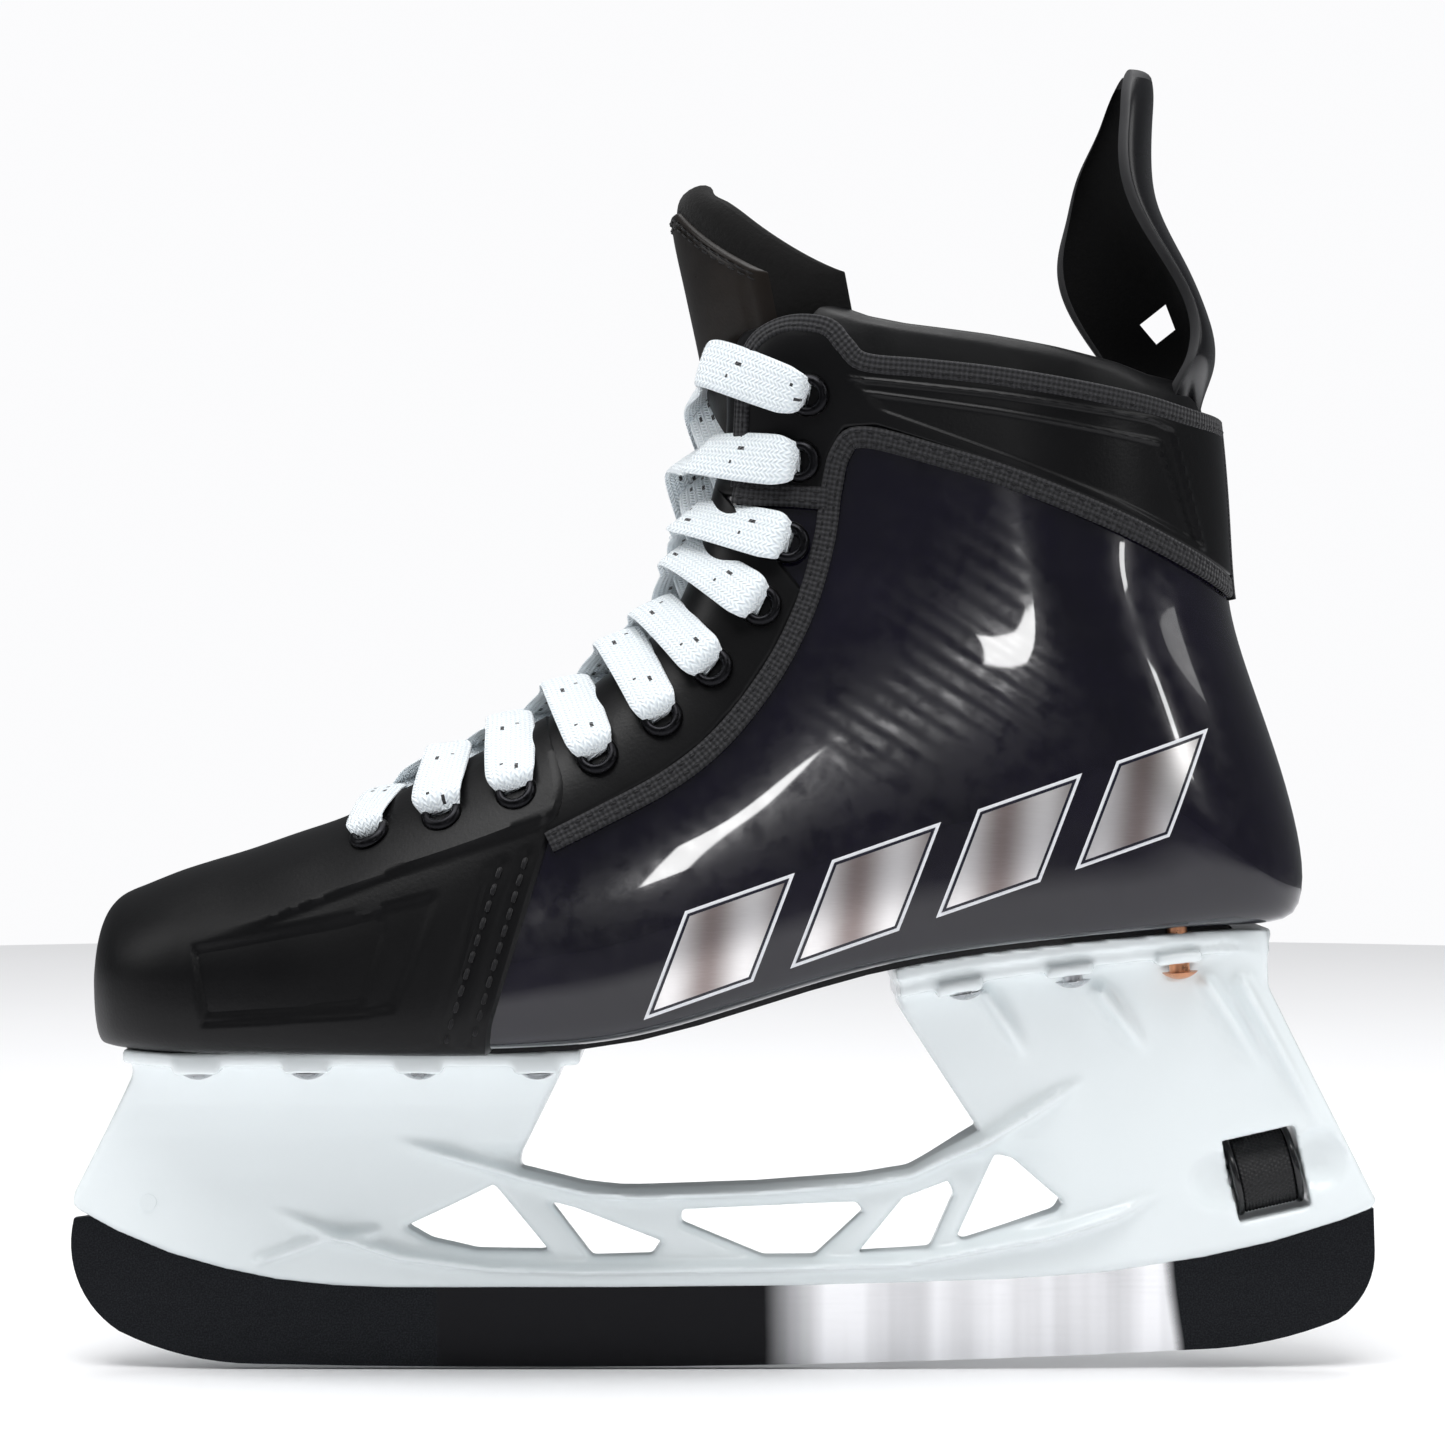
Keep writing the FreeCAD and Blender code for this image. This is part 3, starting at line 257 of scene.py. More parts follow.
def curve(points, spacing):
    """Even samples of a Catmull-Rom curve through points (any dimension)."""
    p = np.array(points, float)
    p = np.vstack([2 * p[0] - p[1], p, 2 * p[-1] - p[-2]])
    out = []
    for i in range(1, len(p) - 2):
        for t in np.linspace(0, 1, 24, endpoint=False):
            out.append(0.5 * (2 * p[i] + (p[i + 1] - p[i - 1]) * t
                              + (2 * p[i - 1] - 5 * p[i] + 4 * p[i + 1] - p[i + 2]) * t ** 2
                              + (3 * p[i] - p[i - 1] - 3 * p[i + 1] + p[i + 2]) * t ** 3))
    out = np.array(out + [p[-2]])
    length = run_length(out)
    at = np.linspace(0, length[-1], max(int(length[-1] / spacing), 2) + 1)
    return along_line(at, length, out), at


# ------------------------------------------------------------------ mesh building
def add_mesh(name, verts, faces, material, uv=None, smooth=True):
    """Object from millimetre points, with an optional surface map per point."""
    mesh = bpy.data.meshes.new(name)
    mesh.from_pydata([tuple(v) for v in np.asarray(verts) * MM], [], [tuple(f) for f in faces])
    mesh.validate()
    mesh.shade_smooth() if smooth else mesh.shade_flat()
    if uv is not None:
        layer = mesh.uv_layers.new(name="surface")
        index = np.empty(len(mesh.loops), int)
        mesh.loops.foreach_get("vertex_index", index)
        layer.data.foreach_set("uv", np.asarray(uv, float)[index].ravel())
    for m in material if isinstance(material, (list, tuple)) else [material]:
        mesh.materials.append(m)
    obj = bpy.data.objects.new(name, mesh)
    bpy.context.collection.objects.link(obj)
    return obj


def fix_normals(obj):
    bm = bmesh.new()
    bm.from_mesh(obj.data)
    bmesh.ops.recalc_face_normals(bm, faces=bm.faces)
    bm.to_mesh(obj.data)
    bm.free()
    return obj


def sharpen(obj, degrees=35.0):
    """Keeps crisp edges crisp and the rest smooth."""
    obj.data.set_sharp_from_angle(angle=math.radians(degrees))
    return obj


def quads(n, m, start=0, wrap=False):
    """Faces of an n by m grid of points numbered from start."""
    faces = []
    for i in range(n - 1):
        for j in range(m if wrap else m - 1):
            k = (j + 1) % m
            faces.append((start + i * m + j, start + (i + 1) * m + j, start + (i + 1) * m + k, start + i * m + k))
    return faces


def wall_faces(n, m, start=0):
    """Faces of a closed wall: an outer and an inner n by m grid and the rim between them."""
    back = start + n * m
    faces = quads(n, m, start) + [f[::-1] for f in quads(n, m, back)]
    rim = [i * m for i in range(n)] + [(n - 1) * m + j for j in range(1, m)]
    rim += [i * m + m - 1 for i in range(n - 2, -1, -1)] + [j for j in range(m - 2, 0, -1)]
    return faces + [(start + a, start + b, back + b, back + a) for a, b in zip(rim, rim[1:] + rim[:1])]


def wall(name, outer, inner, material):
    """Closed wall between an outer and an inner grid of the same size."""
    verts = np.concatenate([outer.reshape(-1, 3), inner.reshape(-1, 3)])
    return sharpen(fix_normals(add_mesh(name, verts, wall_faces(*outer.shape[:2]), material)))


def tube_grid(name, rings, material, uv=None, caps=True):
    """Mesh through closed rings (n, m, 3)."""
    n, m = rings.shape[:2]
    faces = quads(n, m, wrap=True)
    if caps:
        faces += [tuple(range(m))[::-1], tuple(range((n - 1) * m, n * m))]
    uv = None if uv is None else uv.reshape(-1, 2)
    return fix_normals(add_mesh(name, rings.reshape(-1, 3), faces, material, uv))


def eased(n):
    """Fractions from 0 to 1 that crowd towards both ends."""
    return 0.5 * (1 - np.cos(np.pi * np.arange(n + 1) / n))


def edge_rows(n, length, soft=1.2):
    """Row fractions with extra rows close to both ends, for rounded rims."""
    near = np.array([0.0, 0.08, 0.25, 0.55, 1.0]) * soft / max(length, 3 * soft)
    return np.concatenate([near, np.linspace(near[-1], 1 - near[-1], n)[1:-1], 1 - near[::-1]])


def rounded(edge, soft):
    """0 at an edge, rising like a quarter circle to 1."""
    return np.sqrt(np.clip(1 - (1 - np.clip(edge / soft, 0, 1)) ** 2, 0, 1))


def crossing_station(v, side, line, d=0.0, first=SHELL_START, last=89.0):
    """Station at which each line of constant v crosses a side-view line z(x) upwards."""
    s = np.linspace(first, last, 900)
    grid = boot_point(s[:, None], v[None, :], side, d)
    over = grid[..., 2] - line_z(line, grid[..., 0])
    out = []
    for j in range(len(v)):
        k = np.argmax((over[1:, j] > 0) & (over[:-1, j] <= 0))
        a, b = over[k, j], over[k + 1, j]
        out.append(s[k] + (s[k + 1] - s[k]) * np.clip(-a / (b - a + 1e-9), 0, 1))
    return np.array(out)


# ------------------------------------------------------------------ materials
class Nodes:
    """Short way to write a node material."""

    def __init__(self, name, color, rough, metallic=0.0, **extra):
        self.mat = bpy.data.materials.new(name)
        self.mat.use_nodes = True
        self.tree = self.mat.node_tree
        self.bsdf = self.tree.nodes["Principled BSDF"]
        self.set("Base Color", (*color, 1.0))
        self.set("Roughness", rough)
        self.set("Metallic", metallic)
        for key, value in extra.items():
            self.set(key.replace("_", " "), value)

    def set(self, socket, value):
        self.bsdf.inputs[socket].default_value = value

    def put(self, kind, **inputs):
        node = self.tree.nodes.new(kind)
        for key, value in inputs.items():
            if hasattr(node, key):
                setattr(node, key, value)
            else:
                self.link(node.inputs[key.replace("_", " ")], value)
        return node

    def link(self, socket, value):
        if isinstance(value, bpy.types.NodeSocket):
            self.tree.links.new(value, socket)
        else:
            socket.default_value = value

    def math(self, operation, a, b=0.0, c=0.0):
        node = self.tree.nodes.new("ShaderNodeMath")
        node.operation = operation
        for socket, value in zip(node.inputs, (a, b, c)):
            self.link(socket, value)
        return node.outputs[0]

    def mapped(self, source="Object", scale=(1, 1, 1), rotation=(0, 0, 0)):
        coord = self.put("ShaderNodeTexCoord").outputs[source]
        node = self.put("ShaderNodeMapping")
        self.link(node.inputs["Vector"], coord)
        node.inputs["Scale"].default_value = scale
        node.inputs["Rotation"].default_value = rotation
        return node.outputs[0]

    def noise(self, vector, scale, detail=4.0, rough=0.55):
        node = self.put("ShaderNodeTexNoise")
        self.link(node.inputs["Vector"], vector)
        node.inputs["Scale"].default_value = scale
        node.inputs["Detail"].default_value = detail
        node.inputs["Roughness"].default_value = rough
        return node.outputs["Fac"]

    def ramp(self, value, low, high, from_a=0.0, from_b=1.0):
        node = self.put("ShaderNodeMapRange")
        sockets = ("Value", "From Min", "From Max", "To Min", "To Max")
        for key, item in zip(sockets, (value, from_a, from_b, low, high)):
            self.link(node.inputs[key], item)
        return node.outputs[0]

    def mix(self, factor, a, b):
        node = self.put("ShaderNodeMix")
        node.data_type = "RGBA"
        self.link(node.inputs["Factor"], factor)
        for socket, value in ((node.inputs[6], a), (node.inputs[7], b)):
            self.link(socket, value if isinstance(value, bpy.types.NodeSocket) else (*value, 1.0))
        return node.outputs[2]

    def color(self, value):
        self.link(self.bsdf.inputs["Base Color"], value)

    def rough(self, value):
        self.link(self.bsdf.inputs["Roughness"], value)

    def bump(self, height, strength, distance):
        node = self.put("ShaderNodeBump")
        node.inputs["Strength"].default_value = strength
        node.inputs["Distance"].default_value = distance * MM
        self.link(node.inputs["Height"], height)
        if self.bsdf.inputs["Normal"].is_linked:
            self.link(node.inputs["Normal"], self.bsdf.inputs["Normal"].links[0].from_socket)
        self.link(self.bsdf.inputs["Normal"], node.outputs[0])

    def parts(self, vector):
        node = self.put("ShaderNodeSeparateXYZ")
        self.link(node.inputs[0], vector)
        return node.outputs


def plastic(name, color, rough, grain, depth, spread=0.35, **extra):
    """Moulded plastic with fine grain and slightly uneven gloss."""
    n = Nodes(name, color, rough, **extra)
    at = n.mapped()
    broad = n.noise(at, 60.0)
    n.color(n.mix(broad, [c * (1 - spread) for c in color], [c * (1 + spread) for c in color]))
    n.rough(n.ramp(n.noise(at, 25.0), rough * 0.85, rough * 1.15, 0.3, 0.7))
    n.bump(n.noise(at, grain, 3.0), 0.5, depth)
    return n.mat


def shell_material():
    """Lacquered composite, near black with a violet tinge."""
    n = Nodes("shell_gloss", (0.006, 0.005, 0.012), 0.16, Coat_Weight=0.7, Coat_Roughness=0.03, Coat_IOR=1.5,
              Specular_IOR_Level=0.3)
    at = n.mapped()
    n.color(n.mix(n.noise(at, 30.0), (0.0015, 0.0015, 0.003), (0.005, 0.0035, 0.012)))
    n.rough(n.ramp(n.noise(at, 180.0, 6.0), 0.12, 0.26, 0.35, 0.65))
    # laminate ridges that fade in and out behind the lacing and across the heel
    slant = n.put("ShaderNodeTexWave", wave_type="BANDS", bands_direction="Z")
    n.link(slant.inputs["Vector"], n.mapped(rotation=(0, math.radians(-33), 0)))
    slant.inputs["Scale"].default_value = 72.0
    slant.inputs["Distortion"].default_value = 0.6
    patch = n.noise(at, 14.0, 2.0)
    ridges = n.math("MULTIPLY", slant.outputs["Fac"], n.ramp(patch, 0.0, 1.0, 0.48, 0.62))
    n.bump(ridges, 0.35, 0.12)
    n.bump(n.noise(n.mapped(scale=(1, 1, 2.5)), 420.0, 5.0), 0.12, 0.05)
    return n.mat


def woven(name, color, lift, pitch, light=2.2, rough=0.75, sheen=0.3):
    """Basket weave on the surface map, whose unit is a millimetre; its hollows are painted darker and its crowns
    lighter, as painted shade and painted sheen.
    """
    n = Nodes(name, color, rough, Sheen_Weight=sheen, Sheen_Roughness=0.4, Specular_IOR_Level=0.35)
    u, v, _ = n.parts(n.mapped("UV"))
    turn = 2 * math.pi / pitch * 0.7071
    a = n.math("SINE", n.math("MULTIPLY", n.math("ADD", u, v), turn))
    b = n.math("SINE", n.math("MULTIPLY", n.math("SUBTRACT", u, v), turn))
    weave = n.ramp(n.math("MULTIPLY", a, b), 0.0, 1.0, -1.0, 1.0)
    # painted shade and painted sheen: the weave pattern's hollows are painted darker (0.4) and its crowns lighter
    # (light)
    n.color(n.mix(weave, [c * 0.4 for c in color], [c * light for c in color]))
    n.bump(weave, 0.8, lift)
    n.bump(n.noise(n.mapped(), 900.0), 0.3, 0.08)
    return n.mat


def lace_material():
    """White knitted lace; its surface map is in millimetres."""
    n = Nodes("lace_weave", (0.84, 0.87, 0.92), 0.85, Sheen_Weight=0.4, Sheen_Roughness=0.5)
    u, v, _ = n.parts(n.mapped("UV"))
    # chevron knit: slanted strands that mirror in narrow columns across the lace
    column = n.math("PINGPONG", u, 1.1)
    strand = n.math("SINE", n.math("MULTIPLY", n.math("ADD", v, column), 2 * math.pi / 1.15))
    ribs = n.math("SINE", n.math("MULTIPLY", u, 2 * math.pi / 1.1))
    knit = n.ramp(n.math("ADD", strand, n.math("MULTIPLY", ribs, 0.6)), 0.0, 1.0, -1.6, 1.6)
    # the knit pattern with painted shade: its grooves are painted darker and bluer than its crowns
    base = n.mix(knit, (0.62, 0.68, 0.73), (0.90, 0.95, 0.97))
    # dark flecks in two staggered dashes
    dash = n.math("PINGPONG", n.math("ADD", v, n.math("MULTIPLY", n.math("SIGN", u), 1.3)), 2.6)
    on_dash = n.math("LESS_THAN", dash, 0.95)
    band = n.math("LESS_THAN", n.math("ABSOLUTE", n.math("SUBTRACT", n.math("ABSOLUTE", u), 1.7)), 0.42)
    stretch = n.math("GREATER_THAN", n.noise(n.mapped("UV", scale=(0.0, 1.0, 1.0)), 0.055, 0.0), 0.56)
    fleck = n.math("MULTIPLY", n.math("MULTIPLY", on_dash, band), stretch)
    n.color(n.mix(fleck, base, (0.015, 0.015, 0.018)))
    n.bump(knit, 0.9, 0.35)
    n.bump(n.noise(n.mapped(), 1400.0), 0.3, 0.06)
    return n.mat


def fabric(name, color, scale, depth, rough=0.9, sheen=0.4, spread=0.5):
    """Felt, microfibre or thread: fine fibres over soft unevenness."""
    n = Nodes(name, color, rough, Sheen_Weight=sheen, Sheen_Roughness=0.45, Specular_IOR_Level=0.15)
    at = n.mapped()
    fibres = n.noise(at, scale, 6.0, 0.7)
    n.color(n.mix(fibres, [c * (1 - spread) for c in color], [c * (1 + spread) for c in color]))
    n.bump(fibres, 0.7, depth)
    n.bump(n.noise(at, 40.0), 0.3, 0.8)
    return n.mat


def leather(name, color, rough, warm=None):
    """Smooth synthetic with fine pores and patches of a warmer tint."""
    n = Nodes(name, color, rough, Coat_Weight=0.05, Coat_Roughness=0.35, Specular_IOR_Level=0.28)
    at = n.mapped()
    cells = n.put("ShaderNodeTexVoronoi", feature="DISTANCE_TO_EDGE")
    n.link(cells.inputs["Vector"], at)
    cells.inputs["Scale"].default_value = 900.0
    n.color(n.mix(n.noise(at, 50.0), [c * 0.7 for c in color], [c * 1.5 for c in (warm or color)]))
    n.rough(n.ramp(n.noise(at, 120.0), rough * 0.8, rough * 1.2, 0.3, 0.7))
    n.bump(cells.outputs["Distance"], 0.3, 0.1)
    n.bump(n.noise(at, 22.0), 0.4, 1.2)
    return n.mat


def holder_material():
    """Glossy white nylon, slightly green."""
    n = Nodes("holder_white", (0.86, 0.89, 0.91), 0.24, Coat_Weight=0.3, Coat_Roughness=0.1)
    at = n.mapped()
    n.color(n.mix(n.noise(at, 14.0), (0.80, 0.86, 0.875), (0.84, 0.885, 0.90)))
    n.rough(n.ramp(n.noise(at, 60.0), 0.22, 0.27))
    n.bump(n.noise(at, 1500.0, 2.0), 0.12, 0.03)
    return n.mat


def steel_material():
    """Mirror-ground steel with dark coated ends, and a stretch behind the front tower painted near black as a
    painted dark reflection.
    """
    n = Nodes("runner_steel", (0.6, 0.6, 0.62), 0.1, 1.0)
    at = n.mapped()
    x, _, z = n.parts(at)
    wander = n.math("MULTIPLY", n.math("SUBTRACT", n.noise(at, 30.0), 0.5), 0.002)
    place_x = n.math("ADD", x, wander)
    front = n.ramp(place_x, 1.0, 0.0, -0.0695, -0.0675)
    rear = n.ramp(n.math("ADD", place_x, n.math("MULTIPLY", z, 0.12)), 0.0, 1.0, 0.1085, 0.1115)
    ends = n.math("MAXIMUM", front, rear)
    # painted dark reflection: ahead of x 0.010 to 0.024 m the steel is painted near black and keeps the mirror's
    # gloss
    painted_dark_stretch = n.ramp(place_x, 1.0, 0.0, 0.010, 0.024)
    speck = n.noise(at, 2600.0, 2.0)
    dark = n.mix(n.ramp(speck, 0.0, 1.0, 0.4, 0.8), (0.014, 0.015, 0.017), (0.030, 0.032, 0.035))
    bands = n.ramp(n.noise(n.mapped(scale=(1.0, 0.02, 0.03)), 55.0, 3.0), 0.0, 1.0, 0.35, 0.6)
    mirror = n.mix(bands, (0.50, 0.50, 0.51), (0.84, 0.84, 0.85))
    # the mirror, the stretch painted near black (0.012) as a painted dark reflection, and the dark coated ends
    n.color(n.mix(ends, n.mix(painted_dark_stretch, mirror, (0.012, 0.012, 0.013)), dark))
    lines = n.noise(n.mapped(scale=(0.5, 6.0, 9.0)), 160.0, 5.0)
    n.rough(n.math("ADD", n.ramp(ends, 0.07, 0.38), n.ramp(lines, 0.0, 0.10, 0.3, 0.7)))
    n.bump(lines, 0.12, 0.03)
    return n.mat


def metal(name, color, rough, scale=500.0):
    """Plated metal with a fine grain."""
    n = Nodes(name, color, rough, 1.0)
    at = n.mapped()
    grain = n.noise(at, scale, 5.0)
    n.color(n.mix(grain, [c * 0.7 for c in color], [min(c * 1.15, 1.0) for c in color]))
    n.rough(n.ramp(grain, rough * 0.7, rough * 1.5, 0.3, 0.7))
    n.bump(grain, 0.25, 0.06)
    return n.mat


def badge_material():
    """Brushed film that shades from dark pewter to bright silver across each bar."""
    n = Nodes("badge_silver", (0.6, 0.57, 0.55), 0.3, 0.85)
    u, v, _ = n.parts(n.mapped("UV"))
    wave = n.math("SINE", n.math("ADD", n.math("MULTIPLY", u, 0.34), n.math("MULTIPLY", v, 0.10)))
    brushed = n.noise(n.mapped(scale=(1.0, 1.0, 12.0)), 300.0, 4.0)
    streaks = n.math("MULTIPLY", n.math("SUBTRACT", brushed, 0.5), 0.15)
    tone = n.math("ADD", n.ramp(wave, 0.0, 1.0, -1.0, 1.0), streaks)
    n.color(n.mix(tone, (0.30, 0.25, 0.24), (0.86, 0.84, 0.83)))
    n.bump(brushed, 0.15, 0.03)
    return n.mat


M = {
    "shell": shell_material(),
    "toe": plastic("toe_cap_matte", (0.0026, 0.0026, 0.003), 0.40, 1100.0, 0.09, Specular_IOR_Level=0.2),
    "trim": plastic("facing_matte", (0.003, 0.003, 0.0034), 0.34, 1300.0, 0.07, Specular_IOR_Level=0.22),
    "rim_edge": plastic("cut_edge", (0.030, 0.030, 0.032), 0.7, 700.0, 0.12),
    "tape": woven("binding_weave", (0.0075, 0.0075, 0.0085), 0.55, 1.7, light=3.6, sheen=0.12),
    "thread": fabric("thread", (0.010, 0.010, 0.011), 2600.0, 0.08, 0.5, 0.1),
    "lining": fabric("lining_microfibre", (0.008, 0.008, 0.009), 1500.0, 0.15, sheen=0.12),
    "padding": leather("collar_synthetic", (0.0045, 0.0045, 0.005), 0.42),
    "felt": fabric("tongue_felt", (0.0045, 0.0043, 0.0043), 800.0, 0.45, sheen=0.08),
    "shield": leather("tongue_shield_synthetic", (0.0035, 0.003, 0.0028), 0.34, (0.010, 0.007, 0.005)),
    "lace": lace_material(),
    "eyelet": metal("eyelet_black", (0.018, 0.018, 0.02), 0.3, 900.0),
    "holder": holder_material(),
    "steel": steel_material(),
    "rivet": metal("rivet_zinc", (0.62, 0.63, 0.65), 0.28),
    "copper": metal("rivet_copper", (0.75, 0.36, 0.20), 0.3),
    "wheel": plastic("wheel_rubber", (0.008, 0.008, 0.009), 0.55, 1800.0, 0.12),
    "wheel_rim": plastic("wheel_rim_gloss", (0.006, 0.006, 0.007), 0.2, 300.0, 0.03),
    "guard_out": plastic("guard_gloss", (0.006, 0.006, 0.007), 0.26, 300.0, 0.05, Specular_IOR_Level=0.35),
    # guard felt: the felt's own black, painted darker still as painted shade on the guard's inner face
    "guard_in": fabric("guard_felt", (0.0018, 0.0018, 0.002), 1200.0, 0.2, 0.8, 0.0),
    "badge": badge_material(),
    "badge_white": plastic("badge_border", (0.72, 0.73, 0.76), 0.3, 300.0, 0.02, 0.05),
    "badge_dark": plastic("badge_line", (0.01, 0.01, 0.02), 0.25, 300.0, 0.02),
    "board": plastic("insole_board_grey", (0.03, 0.03, 0.03), 0.6, 900.0, 0.1),
    "outsole": plastic("outsole_composite", (0.008, 0.008, 0.009), 0.25, 240.0, 0.08, Specular_IOR_Level=0.3),
}


def place(obj, body, slot, *nodes):
    """Rigid piece: its body, its slot (not used) and the CAD nodes it stands for."""
    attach(obj, body)
    if nodes:
        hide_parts(*nodes)
    return obj


# ------------------------------------------------------------------ studio
def make_world():
    """White to the camera, dim to everything else, so that the lamps do the lighting."""
    world = bpy.data.worlds.new("studio_air")
    world.use_nodes = True
    tree = world.node_tree
    seen = tree.nodes["Background"]
    seen.inputs[0].default_value, seen.inputs[1].default_value = (0.97, 0.97, 0.98, 1.0), 1.0
    air = tree.nodes.new("ShaderNodeBackground")
    air.inputs[0].default_value, air.inputs[1].default_value = (0.93, 0.96, 1.0, 1.0), 0.14
    path, mix = tree.nodes.new("ShaderNodeLightPath"), tree.nodes.new("ShaderNodeMixShader")
    tree.links.new(path.outputs["Is Camera Ray"], mix.inputs[0])
    tree.links.new(air.outputs[0], mix.inputs[1])
    tree.links.new(seen.outputs[0], mix.inputs[2])
    tree.links.new(mix.outputs[0], tree.nodes["World Output"].inputs[0])
    return world


def make_floor():
    """Pale disc, pale to the eye; to glossy rays it is painted dark on the camera's side, a painted shade in the
    boot's reflections.
    """
    bpy.ops.mesh.primitive_circle_add(vertices=128, radius=1.5, fill_type="NGON", location=(0, 0.2, -0.0006))
    floor = bpy.context.object
    floor.name = "floor"
    paint = Nodes("floor_pale", (0.9, 0.9, 0.91), 0.7)
    paint.set("Specular IOR Level", 0.1)
    pale = paint.mix(paint.noise(paint.mapped(), 3.0), (0.88, 0.88, 0.89), (0.91, 0.91, 0.92))
    gloss = paint.put("ShaderNodeLightPath").outputs["Is Glossy Ray"]
    near = paint.ramp(paint.parts(paint.mapped())[1], 0.0, 1.0, -0.62, -0.44)
    # painted shade in reflections: glossy rays see the floor dark (0.14) on the camera's side and pale (0.8)
    # nearer the boot
    paint.color(paint.mix(gloss, pale, paint.mix(near, (0.14, 0.14, 0.16), (0.8, 0.8, 0.82))))
    floor.data.materials.append(paint.mat)


# name, azimuth from the camera, elevation, distance, width, height, radiance
LAMPS = [
    ("key", -14, 60, 1.6, 1.4, 0.7, 6.0),
    ("top", 10, 86, 1.5, 1.2, 0.7, 1.6),
    ("rear", 165, 56, 1.7, 1.2, 0.5, 2.2),
    ("left", -78, 30, 1.5, 0.5, 0.8, 2.8),
    ("right", 72, 32, 1.5, 0.35, 0.9, 3.4),
    ("streak", 8, 4, 1.3, 0.05, 0.10, 30.0),
    ("edge", 52, 9, 1.3, 0.05, 0.14, 22.0),
]


def studio():
    """White room, pale floor, soft lamps and the camera square to the skate's outer side."""
    scene = bpy.context.scene
    scene.view_settings.view_transform = "Standard"
    scene.view_settings.look = "None"
    scene.world = make_world()
    make_floor()
    aim = np.array([0.0, 0.0, 0.13])
    for name, azimuth, elevation, distance, w, h, radiance in LAMPS:
        az, el = math.radians(azimuth), math.radians(elevation)
        way = np.array([math.sin(az) * math.cos(el), -math.cos(az) * math.cos(el), math.sin(el)])
        data = bpy.data.lights.new(name, "AREA")
        data.shape = "RECTANGLE"
        data.size, data.size_y, data.energy = w, h, radiance * math.pi * w * h
        lamp = bpy.data.objects.new(name, data)
        lamp.location = aim + way * distance
        lamp.rotation_euler = (math.pi / 2 - el, 0, az)
        lamp.visible_camera = False
        bpy.context.collection.objects.link(lamp)
    data = bpy.data.lights.new("sky", "SUN")
    data.energy, data.angle = 1.5, math.radians(60)
    sky = bpy.data.objects.new("sky", data)
    bpy.context.collection.objects.link(sky)
    data = bpy.data.cameras.new("camera")
    distance, frame_width, eye = 0.85, 0.3468, 0.1544
    data.sensor_width = 36.0
    data.lens = 36.0 * distance / frame_width
    camera = bpy.data.objects.new("camera", data)
    camera.location = (0.0, -distance, eye)
    camera.rotation_euler = (math.pi / 2, 0, 0)
    bpy.context.collection.objects.link(camera)
    scene.camera = camera


# ------------------------------------------------------------------ boot
def mirrored(values):
    """Values per column for the lateral side, then the same for the medial side."""
    return np.concatenate([values[::-1], values])


def both_sides(v):
    """Columns from the lateral throat edge under the sole to the medial throat edge."""
    return mirrored(v), np.concatenate([-np.ones(len(v)), np.ones(len(v))])


def cuff_rim(drop):
    """The cuff's top line, lowered."""
    return [(x, z - drop) for x, z in CUFF_TOP]


def boot_wall(name, half, rows, start, drop, depths, material):
    """Wall that follows the boot from a station near the toe to just under the cuff's top."""
    v, side = both_sides(half)
    end = mirrored(crossing_station(half, 1.0, cuff_rim(drop)))
    s = start + rows[:, None] * (end[None, :] - start)
    outer, inner = (boot_point(s, v[None, :], side[None, :], d) for d in depths)
    return wall(name, outer, inner, material)


def make_shell():
    """Outer shell, and the lining on the foot's side of the same wall."""
    shell = boot_wall("shell_body", eased(64), edge_rows(150, 200.0), SHELL_START, 1.2,
                      (0.0, -SHELL_WALL), M["shell"])
    place(shell, "boot", "shell", "shell")
    lining = boot_wall("lining_body", eased(30) * 0.93, np.linspace(0, 1, 60), LINING_START, LINING_DROP,
                       (-SHELL_GAP, -LINING_INSIDE), M["lining"])
    place(lining, "boot", "lining", "ankle_lining")


TOE_RIDGE = [(-124.0, 103.8), (-105.0, 109.2), (-73.2, 121.4), (-55.1, 127.6), (-36.0, 134.2)]
TOE_RECESS = [(-121.5, 103.2), (-76.5, 112.6), (-64.5, 115.6), (-69.6, 100.8), (-74.5, 89.4), (-80.5, 88.2),
              (-119.0, 84.6)]
TOE_RECESS_FLOOR = [(-121.0, 102.0), (-77.5, 110.6), (-77.0, 106.2), (-81.5, 90.4), (-97.0, 88.4),
                    (-118.0, 86.6)]
STITCH_FRONT = [(-49.9, 122.4), (-63.0, 81.5)]
STITCH_REAR = [(-44.2, 124.6), (-57.0, 81.5)]


def toe_relief(x, z):
    """Moulded relief of the toe cap's sides, in millimetres of offset."""
    ridge, along = to_polyline(x, z, TOE_RIDGE)
    above = z > line_z(TOE_RIDGE, x)
    lip = step_up(along, 0.02, 0.35)
    relief = 1.3 * lip * np.where(above, np.exp(-ridge / 7.0), np.exp(-(ridge / 0.8) ** 2))
    recess = inside(x, z, TOE_RECESS)
    relief -= 0.8 * step_up(-recess, -0.3, 0.7)
    deep = inside(x, z, TOE_RECESS_FLOOR)
    relief -= 0.6 * step_up(-deep, -0.3, 0.6)
    for line in (STITCH_FRONT, STITCH_REAR):
        groove, _ = to_polyline(x, z, line)
        relief -= 0.55 * np.exp(-(groove / 1.0) ** 4)
    band, _ = to_polyline(x, z, [(-52.8, 122.0), (-66.0, 80.6)])
    relief -= 0.4 * np.exp(-(band / 0.5) ** 2)
    return relief


def nose_rings(row, centre, scales, bulge):
    """Rings that close the nose ahead of a row, bulging forwards towards the middle."""
    return np.array([centre + (row - centre) * k - np.array([bulge * (1 - k ** 2), 0, 0]) for k in scales])


